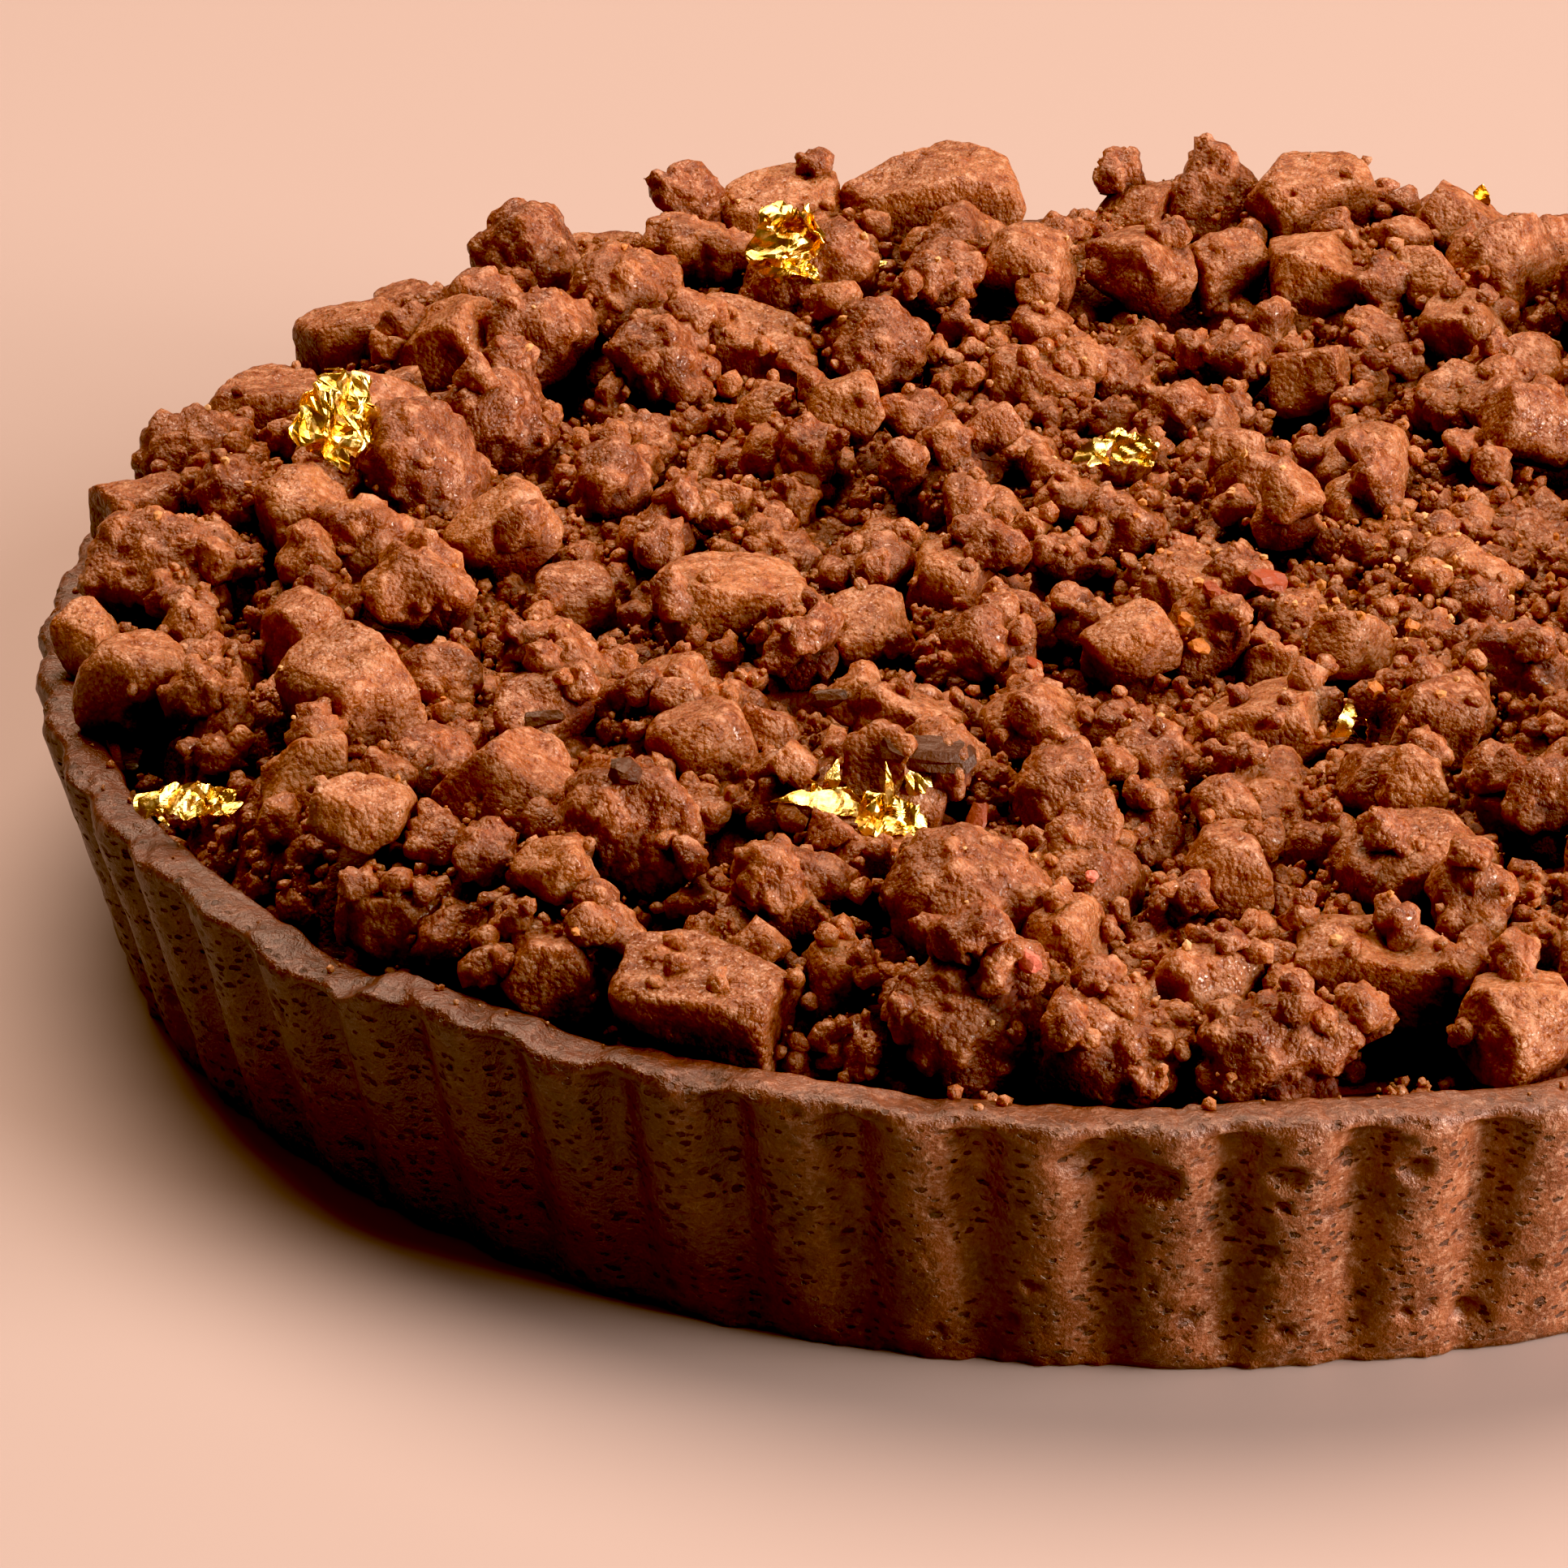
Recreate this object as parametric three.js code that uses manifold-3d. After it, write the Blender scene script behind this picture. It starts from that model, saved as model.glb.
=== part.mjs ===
// A whole chocolate tart, 20 cm across, out of its fluted tin: a baked pastry cup, a dark
// chocolate filling, a heap of chocolate crumble over it, and loose flakes of gold leaf.
// Millimetres, +Z up. The origin is the middle of the underside.
import * as THREE from "three";
import { mergeVertices } from "three/addons/utils/BufferGeometryUtils.js";
import Module from "manifold-3d";

const wasm = await Module();
wasm.setup();

// Driving dimensions, in millimetres and degrees.
const gap = 0.3; // between pieces that lie on each other
const rimRadius = 99.2; // halfway between ridge and valley, at the top of the wall
const baseRadius = 93.5; // the same at the bottom: the tin's wall slopes
const crustHeight = 25;
const crustWall = 4.2; // the rim's width
const crustBase = 3.5;
const rimRounding = 0.9; // height of the rounded edge
const unevenRim = 0.8; // how far the rim's height strays
const fluteCount = 62;
const fluteDepth = 2.7;
const baseFlutes = 0.35; // how much of the flutes' depth is left at the bottom
const fluteStart = -75; // the middle of the first ridge
const columnsPerFlute = 4;
const fillingTop = 20;
const coreLevel = 27; // the middle of the heap, without the lumps on it
const bankRise = 2.6; // how much higher it is banked up along the sides and the back
const bankReach = 2; // how much further out it stays high there
const bankGap = -75; // the direction of the front, where it isn't banked up
const heapEdge = 85; // the heap slopes down to the filling from here ...
const heapFoot = 94; // ... to here
const crumbleReach = 98.6; // furthest that a lump may lean out over the rim
const crumbleTop = 45;
const leafThickness = 0.3;

// Where the rim is broken or baked low: its angle, half its width and its depth.
const rimDips = [
  { angle: -136, reach: 4, depth: 1.3 },
  { angle: -121, reach: 2.5, depth: 0.7 },
  { angle: -70, reach: 3, depth: 0.6 },
  { angle: 35, reach: 4, depth: 1 },
  { angle: 128, reach: 3, depth: 0.8 },
];

// The large lumps that give the heap its outline: the middle [x, y, z], the size
// [width, depth, height] and the turn about Z.
const largeLumps = [
  // along the back
  [[-82, 43, 26.5], [11, 10, 9], 10],
  [[-74, 57, 27], [12, 10, 10], 35],
  [[-68, 64, 28], [9, 8, 9], 0],
  [[-58, 70, 29], [11, 9, 13], 50],
  [[-50, 77, 27.5], [11, 9, 8], 15],
  [[-41, 80, 29.5], [8, 7, 10], 70],
  [[-32, 84, 29.5], [14, 10, 11], 20],
  [[-18, 85, 29.5], [22, 13, 12.5], 5],
  [[-3, 80, 27], [9, 8, 8], 40],
  [[4, 86, 28], [10, 9, 10], 60],
  [[11, 86, 30], [9, 9, 11], 15],
  [[21, 84, 30], [13, 11, 11.5], 30],
  [[29, 86, 27.5], [9, 8, 8], 80],
  [[36, 84, 27.5], [9, 8, 7], 10],
  [[44, 80, 27], [10, 9, 8], 25],
  [[21, 67, 29], [13, 12, 10], 0],
  [[11, 69, 29], [8, 8, 9], 25],
  [[34, 55, 28], [9, 8, 10], 65],
  [[-36, 52, 28], [14, 11, 9], 155],
  [[-8, 44, 27], [10, 8, 9], 10],
  // down the left side
  [[-88, 31, 27], [10, 9, 9], 75],
  [[-92, 17, 27], [10, 9, 9], 30],
  [[-90, 1, 28], [15, 13, 10], 115],
  [[-94, -11, 26.5], [7, 7, 8], 40],
  [[-89, -22, 27], [10, 9, 10], 70],
  [[-80, -31, 26], [8, 8, 10], 20],
  [[-74, -14, 28], [10, 8, 9], 45],
  [[-73, -43, 27], [9, 9, 11], 0],
  [[-63, -42, 28], [9, 8, 8], 60],
  [[-64, -62, 25], [10, 9, 9], 130],
  [[-53, -64, 26], [8, 8, 9], 25],
  // along the front
  [[-39, -80, 26], [16, 12, 10], 160],
  [[-29, -78, 26], [7, 6, 8], 75],
  [[-34, -68, 27], [8, 7, 8], 15],
  [[-27, -61, 28], [10, 8, 7], 35],
  [[-19, -84, 26], [14, 11, 10], 20],
  [[-8, -88, 26], [11, 9, 8], 165],
  [[0, -80, 27], [8, 7, 7], 50],
  [[5, -89, 26], [12, 9, 8], 10],
  [[15, -78, 27], [17, 9, 7], 172],
  [[24, -86, 26], [9, 9, 9], 35],
  [[-9, -64, 28], [10, 9, 8], 60],
  [[3, -63, 28], [8, 7, 8], 5],
  [[17, -62, 28], [11, 9, 8], 25],
  [[28, -53, 28], [8, 8, 9], 50],
  [[7, -48, 27], [10, 9, 7], 80],
  // over the middle
  [[-37, -9, 28], [13, 11, 10], 15],
  [[-18, -4, 28], [8, 8, 8], 65],
  [[-40, -38, 28], [9, 8, 8], 40],
  [[-23, -34, 28], [10, 9, 7], 150],
  [[8, -32, 27], [12, 9, 7], 170],
  [[30, -25, 28], [9, 8, 8], 20],
  [[25, -1, 28], [8, 7, 7], 55],
];

// The lumps that fill in between, the widest first, by their distance from the middle.
const fillingLumps = [
  { count: 56, from: 64, to: 90, widest: 13, narrowest: 7.5 },
  { count: 60, from: 0, to: 84, widest: 10, narrowest: 6 },
];
const lumpSpacing = 0.41; // least distance of two lumps, as a share of their widths together
const lumpFill = 0.6; // half a size, and what the flat faces take off it
const placedTilt = 12; // how far a large lump may lean
const looseTilt = 35; // and one of the others
const fineFrom = 12.5; // a lump as wide as this has the finer facets

// The flakes of gold leaf: the middle, length, width, and the turns about Z, along and across.
const goldFlakes = [
  { at: [-73, 13], length: 10, width: 9, turn: 60, roll: 48, pitch: -20 },
  { at: [-31, 61], length: 8, width: 10, turn: 8, roll: 62, pitch: 12 },
  { at: [-25, 71], length: 5, width: 2.5, turn: 10, roll: 10, pitch: 0 },
  { at: [-2, 21], length: 8, width: 5, turn: 20, roll: 25, pitch: 15 },
  { at: [37, 81], length: 6, width: 5, turn: 15, roll: 48, pitch: 15 },
  { at: [-83, -44], length: 8.5, width: 4, turn: 5, roll: 12, pitch: 5 },
  { at: [-30, -54], length: 9, width: 3, turn: -15, roll: 20, pitch: -12 },
  { at: [-25, -57], length: 7, width: 4.5, turn: 30, roll: 40, pitch: 20 },
  { at: [15, -35], length: 4, width: 3, turn: 45, roll: 30, pitch: 25 },
];

const degrees = THREE.MathUtils.degToRad;
const smooth = THREE.MathUtils.smoothstep;

// Numbers from 0 to 1 that are the same each time for the same seed.
function seededDraw(seed) {
  let state = seed;
  return () => {
    state = (state * 1664525 + 1013904223) % 4294967296;
    return state / 4294967296;
  };
}

function geometryOf(positions, triangles) {
  const geometry = new THREE.BufferGeometry();
  geometry.setAttribute("position", new THREE.Float32BufferAttribute(positions, 3));
  geometry.setIndex(triangles);
  return geometry;
}

// Turns a profile round Z. Each of its rows gives [radius, height] at an angle, from the
// underside outwards, up and back to the axis, and the poles close it.
function revolve(rows, columns, poleLow, poleHigh) {
  const positions = [];
  const triangles = [];
  for (const row of rows) {
    for (let j = 0; j < columns; j++) {
      const angle = degrees(fluteStart) + (j / columns) * 2 * Math.PI;
      const [radius, height] = row(angle);
      positions.push(radius * Math.cos(angle), radius * Math.sin(angle), height);
    }
  }
  const low = rows.length * columns;
  const high = low + 1;
  const top = (rows.length - 1) * columns;
  positions.push(0, 0, poleLow, 0, 0, poleHigh);
  for (let j = 0; j < columns; j++) {
    const next = (j + 1) % columns;
    triangles.push(low, next, j, high, top + j, top + next);
    for (let i = 0; i < rows.length - 1; i++) {
      const here = i * columns;
      const above = here + columns;
      triangles.push(here + j, here + next, above + next, here + j, above + next, above + j);
    }
  }
  return geometryOf(positions, triangles);
}

function solidOf(geometry) {
  const bare = geometry.clone();
  bare.deleteAttribute("normal");
  bare.deleteAttribute("uv");
  const merged = mergeVertices(bare);
  return new wasm.Manifold(
    new wasm.Mesh({
      numProp: 3,
      vertProperties: merged.attributes.position.array,
      triVerts: new Uint32Array(merged.index.array),
    }),
  );
}

function geometryOfSolid(solid) {
  const mesh = solid.getMesh();
  return geometryOf(Array.from(mesh.vertProperties), Array.from(mesh.triVerts));
}

// The wavy outline of the tin: broad rounded ridges with narrower valleys between them.
function fluteOffset(angle) {
  const phase = ((angle - degrees(fluteStart)) * fluteCount) / 2;
  return fluteDepth * (Math.pow(Math.abs(Math.cos(phase)), 0.75) - 0.5);
}

function rimHeight(angle) {
  const waves = 0.44 * Math.sin(3 * angle + 0.7) + 0.31 * Math.sin(8 * angle) +
    0.25 * Math.sin(17 * angle + 2);
  let dip = 0;
  for (const { angle: middle, reach, depth } of rimDips) {
    const turned = angle - degrees(middle);
    const away = Math.abs(Math.atan2(Math.sin(turned), Math.cos(turned)));
    dip = Math.max(dip, depth * (1 - smooth(away / degrees(reach), 0.4, 1)));
  }
  return crustHeight - 0.2 + unevenRim * waves - dip;
}

const innerRim = rimRadius - crustWall;
const innerBase = baseRadius - crustWall + 0.4;

function crustGeometry() {
  return revolve(
    [
      (angle) => [baseRadius + baseFlutes * fluteOffset(angle), 0],
      (angle) => [rimRadius - 0.2 + fluteOffset(angle), rimHeight(angle) - rimRounding],
      (angle) => [rimRadius - 1.1 + 0.8 * fluteOffset(angle), rimHeight(angle)],
      (angle) => [innerRim, rimHeight(angle) - 0.3],
      () => [innerBase, crustBase],
    ],
    fluteCount * columnsPerFlute,
    0,
    crustBase,
  );
}

// Least radius of the inside of the crust at a height.
function innerRadius(height) {
  const share = (height - crustBase) / (crustHeight + unevenRim - crustBase);
  return innerBase + (innerRim - innerBase) * share;
}

function fillingGeometry() {
  const low = crustBase + gap;
  return revolve(
    [
      () => [innerBase - gap, low],
      () => [innerRadius(fillingTop) - 1.5 * gap, fillingTop],
      (angle) => [82, fillingTop - 0.2 + 0.15 * Math.sin(5 * angle)],
    ],
    fluteCount,
    low,
    fillingTop - 0.2,
  );
}

// Height of the heap under its lumps.
function coreTop(x, y) {
  const radius = Math.hypot(x, y);
  const bank = 1 - smooth(Math.cos(Math.atan2(y, x) - degrees(bankGap)), 0.3, 0.8);
  const waves = 0.7 * Math.sin(x / 13 + 0.6) * Math.cos(y / 11) + 0.5 * Math.sin((x + y) / 7);
  const level = coreLevel + waves + bank * bankRise * smooth(radius, 50, 76);
  const slope = smooth(radius, heapEdge + bank * bankReach, heapFoot);
  return level + (fillingTop + 0.8 - level) * slope;
}

function coreGeometry() {
  const ring = (radius) => (angle) => [
    radius,
    coreTop(radius * Math.cos(angle), radius * Math.sin(angle)),
  ];
  const low = fillingTop + gap;
  return revolve(
    [() => [heapFoot, low], ring(heapFoot), ring(88.5), ring(83), ring(66), ring(44), ring(22)],
    40,
    low,
    coreTop(0, 0),
  );
}

// A broken lump: a ball cut back by a few flat faces, stretched to its size.
function lumpGeometry(lump, detail) {
  const draw = seededDraw(lump.seed);
  const faces = [];
  for (let i = 0; i < 9; i++) {
    const z = 2 * draw() - 1;
    const around = 2 * Math.PI * draw();
    const flat = Math.sqrt(1 - z * z);
    const normal = new THREE.Vector3(flat * Math.cos(around), flat * Math.sin(around), z);
    faces.push({ normal, distance: 0.56 + 0.32 * draw() });
  }
  const geometry = new THREE.IcosahedronGeometry(1, detail);
  const position = geometry.attributes.position;
  const point = new THREE.Vector3();
  for (let i = 0; i < position.count; i++) {
    point.fromBufferAttribute(position, i).normalize();
    let reach = 1;
    for (const { normal, distance } of faces) {
      const along = normal.dot(point);
      if (along > 0) reach = Math.min(reach, distance / along);
    }
    point.multiplyScalar(reach);
    position.setXYZ(i, point.x, point.y, point.z);
  }
  const [width, depth, height] = lump.size;
  geometry.scale(width * lumpFill, depth * lumpFill, height * lumpFill);
  geometry.rotateX(degrees(lump.tilt * (2 * draw() - 1)));
  geometry.rotateY(degrees(lump.tilt * (2 * draw() - 1)));
  geometry.rotateZ(degrees(lump.turn));
  geometry.translate(...lump.at);
  return geometry;
}

// All the lumps: the large ones, then smaller and smaller ones wherever they find room.
function placeLumps() {
  const lumps = largeLumps.map(([at, size, turn], i) => {
    return { at, size, turn, tilt: placedTilt, seed: 100 + i };
  });
  const draw = seededDraw(2024);
  for (const { count, from, to, widest, narrowest } of fillingLumps) {
    for (let i = 0; i < count; i++) {
      const width = widest + ((narrowest - widest) * i) / (count - 1);
      for (let attempt = 0; attempt < 60; attempt++) {
        const radius = Math.sqrt(from * from + (to * to - from * from) * draw());
        const around = 2 * Math.PI * draw();
        const x = radius * Math.cos(around);
        const y = radius * Math.sin(around);
        const near = (other) =>
          Math.hypot(x - other.at[0], y - other.at[1]) < lumpSpacing * (width + other.size[0]);
        if (lumps.some(near)) continue;
        const depth = width * (0.75 + 0.2 * draw());
        const height = width * (0.7 + 0.2 * draw());
        const bed = Math.max(coreTop(x, y), crustHeight - 1);
        const z = bed + height * (0.08 + 0.24 * draw());
        const turn = 360 * draw();
        const size = [width, depth, height];
        lumps.push({ at: [x, y, z], size, turn, tilt: looseTilt, seed: 500 + lumps.length });
        break;
      }
    }
  }
  return lumps;
}

// The free space for the crumble: over the filling, inside the wall and over the rim.
function roomGeometry() {
  const overRim = crustHeight + gap;
  return revolve(
    [
      () => [innerRadius(fillingTop) - 2 * gap, fillingTop + gap],
      () => [innerRim - 1.5 * gap, overRim],
      () => [crumbleReach, overRim + 0.2],
      () => [crumbleReach, crumbleTop],
    ],
    fluteCount * 2,
    fillingTop + gap,
    crumbleTop,
  );
}

function crumbleSolid() {
  const lumps = placeLumps();
  const solids = lumps.map((lump) => solidOf(lumpGeometry(lump, lump.size[0] < fineFrom ? 0 : 1)));
  const heap = wasm.Manifold.union([solidOf(coreGeometry()), ...solids]);
  const pieces = heap.intersect(solidOf(roomGeometry())).decompose();
  pieces.sort((a, b) => b.volume() - a.volume());
  return pieces[0];
}

// A crumpled flake: a thin ragged sheet, folded along and across, both faces divided alike.
function flakeGeometry(flake, seed) {
  const draw = seededDraw(seed);
  const steps = [5, 3];
  const positions = [];
  const triangles = [];
  const [foldAlong, foldAcross] = [1 + draw(), 1 + draw()];
  const [shiftAlong, shiftAcross] = [6 * draw(), 6 * draw()];
  const ragged = Array.from({ length: 2 * (steps[0] + 1) }, () => 0.62 + 0.38 * draw());
  const columns = steps[1] + 1;
  const perFace = (steps[0] + 1) * columns;
  for (const side of [-0.5, 0.5]) {
    for (let i = 0; i <= steps[0]; i++) {
      for (let j = 0; j <= steps[1]; j++) {
        const u = (2 * i) / steps[0] - 1;
        const v = (2 * j) / steps[1] - 1;
        const edge = ragged[2 * i + (v < 0 ? 1 : 0)] * (1 - 0.45 * u * u);
        const wave = 0.13 * Math.sin(foldAlong * 3 * u + shiftAlong) +
          0.1 * Math.sin(foldAcross * 3 * v + shiftAcross + u);
        const x = 0.5 * flake.length * u * (1 - 0.12 * v * v);
        const y = 0.5 * flake.width * v * edge;
        positions.push(x, y, wave * flake.width + side * leafThickness);
      }
    }
  }
  const quad = (a, b, c, d) => triangles.push(a, b, c, a, c, d);
  for (let i = 0; i < steps[0]; i++) {
    for (let j = 0; j < steps[1]; j++) {
      const a = i * columns + j;
      const b = a + columns;
      quad(a, a + 1, b + 1, b);
      quad(perFace + a, perFace + b, perFace + b + 1, perFace + a + 1);
    }
    const a = i * columns;
    const b = a + columns;
    quad(a, b, perFace + b, perFace + a);
    quad(b + steps[1], a + steps[1], perFace + a + steps[1], perFace + b + steps[1]);
  }
  for (let j = 0; j < steps[1]; j++) {
    const last = steps[0] * columns;
    quad(j + 1, j, perFace + j, perFace + j + 1);
    quad(last + j, last + j + 1, perFace + last + j + 1, perFace + last + j);
  }
  const geometry = geometryOf(positions, triangles);
  geometry.rotateX(degrees(flake.roll));
  geometry.rotateY(degrees(flake.pitch));
  geometry.rotateZ(degrees(flake.turn));
  geometry.translate(flake.at[0], flake.at[1], 0);
  return geometry;
}

// Lowest height at which a flake lies clear of what is under it.
function restingHeight(flakeSolid, under) {
  const step = 0.1;
  let height = crumbleTop;
  const clear = (z) => under.every((solid) => flakeSolid.translate([0, 0, z]).minGap(solid, 2) > gap);
  while (clear(height - step)) height -= step;
  return height;
}

function finish(color, roughness, metalness = 0) {
  return new THREE.MeshStandardMaterial({ color, roughness, metalness });
}

function addPiece(group, name, geometry, material) {
  const mesh = new THREE.Mesh(geometry, material);
  mesh.name = name;
  group.add(mesh);
  return mesh;
}

const tart = new THREE.Group();
const bakedPastry = finish(0x5e3526, 0.8);
const darkChocolate = finish(0x1c0f0d, 0.35);
const bakedCrumble = finish(0x7d4a34, 0.85);
const goldLeaf = finish(0xd9a441, 0.25, 1);

const crust = crustGeometry();
const crumble = crumbleSolid();
addPiece(tart, "crust", crust, bakedPastry);
addPiece(tart, "filling", fillingGeometry(), darkChocolate);
addPiece(tart, "crumble", geometryOfSolid(crumble), bakedCrumble);

const under = [solidOf(crust), crumble];
goldFlakes.forEach((flake, i) => {
  const geometry = flakeGeometry(flake, 40 + i);
  const mesh = addPiece(tart, `gold_leaf_${i + 1}`, geometry, goldLeaf);
  mesh.position.z = restingHeight(solidOf(geometry), under);
});

export default tart;
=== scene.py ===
import math

import bpy
import numpy as np
from mathutils import Matrix, Vector


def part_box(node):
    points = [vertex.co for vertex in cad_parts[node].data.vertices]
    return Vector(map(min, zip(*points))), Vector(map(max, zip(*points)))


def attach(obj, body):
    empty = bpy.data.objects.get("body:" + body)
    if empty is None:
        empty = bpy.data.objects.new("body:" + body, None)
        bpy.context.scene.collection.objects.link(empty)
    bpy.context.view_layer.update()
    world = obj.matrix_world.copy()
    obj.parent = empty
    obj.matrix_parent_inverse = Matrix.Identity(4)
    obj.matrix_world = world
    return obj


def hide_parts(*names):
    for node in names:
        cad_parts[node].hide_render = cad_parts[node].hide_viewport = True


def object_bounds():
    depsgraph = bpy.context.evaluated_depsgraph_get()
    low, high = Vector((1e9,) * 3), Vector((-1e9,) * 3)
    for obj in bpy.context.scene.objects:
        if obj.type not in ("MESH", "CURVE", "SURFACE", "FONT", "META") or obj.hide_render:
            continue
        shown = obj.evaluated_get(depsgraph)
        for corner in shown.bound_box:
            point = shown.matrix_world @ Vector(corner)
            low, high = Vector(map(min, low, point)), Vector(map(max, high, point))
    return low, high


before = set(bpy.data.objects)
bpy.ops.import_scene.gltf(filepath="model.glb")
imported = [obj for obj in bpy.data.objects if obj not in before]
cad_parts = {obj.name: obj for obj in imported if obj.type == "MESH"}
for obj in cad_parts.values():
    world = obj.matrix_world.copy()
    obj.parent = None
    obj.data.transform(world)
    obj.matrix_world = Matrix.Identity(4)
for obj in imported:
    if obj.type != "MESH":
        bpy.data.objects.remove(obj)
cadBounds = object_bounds()
mm = 0.001  # sizes below are in millimetres, Blender's are in metres
bits = 0xFFFFFFFF  # the largest 32-bit number


def deselectAll():
    for thing in bpy.context.selected_objects:
        thing.select_set(False)


def makeActive(thing):
    deselectAll()
    thing.select_set(True)
    bpy.context.view_layer.objects.active = thing


def toLinear(red, green, blue):
    # a colour given as 0 to 255, for a shader's socket
    shares = [value / 255 for value in (red, green, blue)]
    return [s / 12.92 if s <= 0.04045 else ((s + 0.055) / 1.055) ** 2.4 for s in shares] + [1.0]


def smoothStep(value, low, high):
    share = np.clip((value - low) / (high - low), 0, 1)
    return share * share * (3 - 2 * share)


def scramble(x, y, z, seed):
    # a random number from 0 to 1 for each whole-numbered cell
    mixed = (x * 374761393 + y * 668265263 + z * 1440662683 + seed * 2246822519) & bits
    mixed = ((mixed ^ (mixed >> 13)) * 1274126177) & bits
    mixed = ((mixed ^ (mixed >> 16)) * 2654435761) & bits
    return (mixed ^ (mixed >> 15)) / (bits + 1)


def softNoise(places, size, seed):
    # smooth noise from -1 to 1 with lumps of about this size
    place = places / size
    cell = np.floor(place).astype(np.int64)
    part = place - cell
    part = part * part * (3 - 2 * part)
    total = np.zeros(len(place))
    for corner in range(8):
        step = [(corner >> axis) & 1 for axis in range(3)]
        weight = np.ones(len(place))
        for axis in range(3):
            weight *= part[:, axis] if step[axis] else 1 - part[:, axis]
        x, y, z = (cell[:, axis] + step[axis] for axis in range(3))
        total += weight * scramble(x, y, z, seed)
    return 2 * total - 1


def cellNoise(places, size, seed, flat=False):
    # distance to the nearest of one random point in each cell, and that cell's own random number
    place = places / size
    cell = np.floor(place).astype(np.int64)
    nearest = np.full(len(place), 9.0)
    owner = np.zeros(len(place))
    depths = (0,) if flat else (-1, 0, 1)
    for stepX in (-1, 0, 1):
        for stepY in (-1, 0, 1):
            for stepZ in depths:
                x, y, z = cell[:, 0] + stepX, cell[:, 1] + stepY, cell[:, 2] + stepZ
                gapX = x + scramble(x, y, z, seed) - place[:, 0]
                gapY = y + scramble(x, y, z, seed + 1) - place[:, 1]
                gapZ = 0 if flat else z + scramble(x, y, z, seed + 2) - place[:, 2]
                away = np.sqrt(gapX * gapX + gapY * gapY + gapZ * gapZ)
                closer = away < nearest
                nearest = np.where(closer, away, nearest)
                owner = np.where(closer, scramble(x, y, z, seed + 3), owner)
    return nearest, owner


def meshPiece(name, places, triangles, attributes=None, smooth=True):
    # one object of many joined forms; places in millimetres
    mesh = bpy.data.meshes.new(name)
    mesh.vertices.add(len(places))
    mesh.vertices.foreach_set("co", (places * mm).astype(np.float32).ravel())
    mesh.loops.add(len(triangles) * 3)
    mesh.loops.foreach_set("vertex_index", triangles.astype(np.int32).ravel())
    mesh.polygons.add(len(triangles))
    mesh.polygons.foreach_set("loop_start", np.arange(0, len(triangles) * 3, 3, dtype=np.int32))
    mesh.update(calc_edges=True)
    mesh.validate()
    mesh.polygons.foreach_set("use_smooth", np.full(len(mesh.polygons), smooth))
    for title, values in (attributes or {}).items():
        setAttribute(mesh, title, values)
    piece = bpy.data.objects.new(name, mesh)
    bpy.context.collection.objects.link(piece)
    return piece


def setAttribute(mesh, title, values):
    mesh.attributes.new(title, "FLOAT", "POINT").data.foreach_set("value", values.astype(np.float32))


def settle(piece, finish, slot, *nodes):
    # gives a finished piece its material and its place in the part, and hides the solids it stands for
    piece.data.materials.clear()
    piece.data.materials.append(finish)
    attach(piece, "root")
    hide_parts(*nodes)


def placesOf(piece):
    found = np.empty(len(piece.data.vertices) * 3)
    piece.data.vertices.foreach_get("co", found)
    return found.reshape(-1, 3) / mm


def moveTo(piece, places):
    piece.data.vertices.foreach_set("co", (places * mm).astype(np.float32).ravel())
    piece.data.update()


def unit(vectors):
    return vectors / np.linalg.norm(vectors, axis=-1, keepdims=True)


def onBall(z, around):
    # directions at these heights and angles
    flat = np.sqrt(1 - z * z)
    return np.stack([flat * np.cos(around), flat * np.sin(around), z], axis=1)


def turned(turn, tilt, roll):
    # turns points by this many degrees about X, then Y, then Z
    matrix = Matrix.Rotation(math.radians(turn), 3, "Z") @ Matrix.Rotation(math.radians(tilt), 3, "Y")
    return np.array(matrix @ Matrix.Rotation(math.radians(roll), 3, "X")).T


def repeated(triangles, shapes):
    # the same triangles for each of many forms
    count, corners = shapes.shape[:2]
    return (triangles[None] + (np.arange(count) * corners)[:, None, None]).reshape(-1, 3)


class Wire:  # a node's output, which can be used in sums
    def __init__(self, finish, socket):
        self.finish = finish
        self.socket = socket

    def math(self, operation, first, second):
        return self.finish.node("ShaderNodeMath", {"operation": operation}, {0: first, 1: second})

    def __add__(self, other):
        return self.math("ADD", self, other)

    __radd__ = __add__

    def __sub__(self, other):
        return self.math("SUBTRACT", self, other)

    def __rsub__(self, other):
        return self.math("SUBTRACT", other, self)

    def __mul__(self, other):
        return self.math("MULTIPLY", self, other)

    __rmul__ = __mul__


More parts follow.
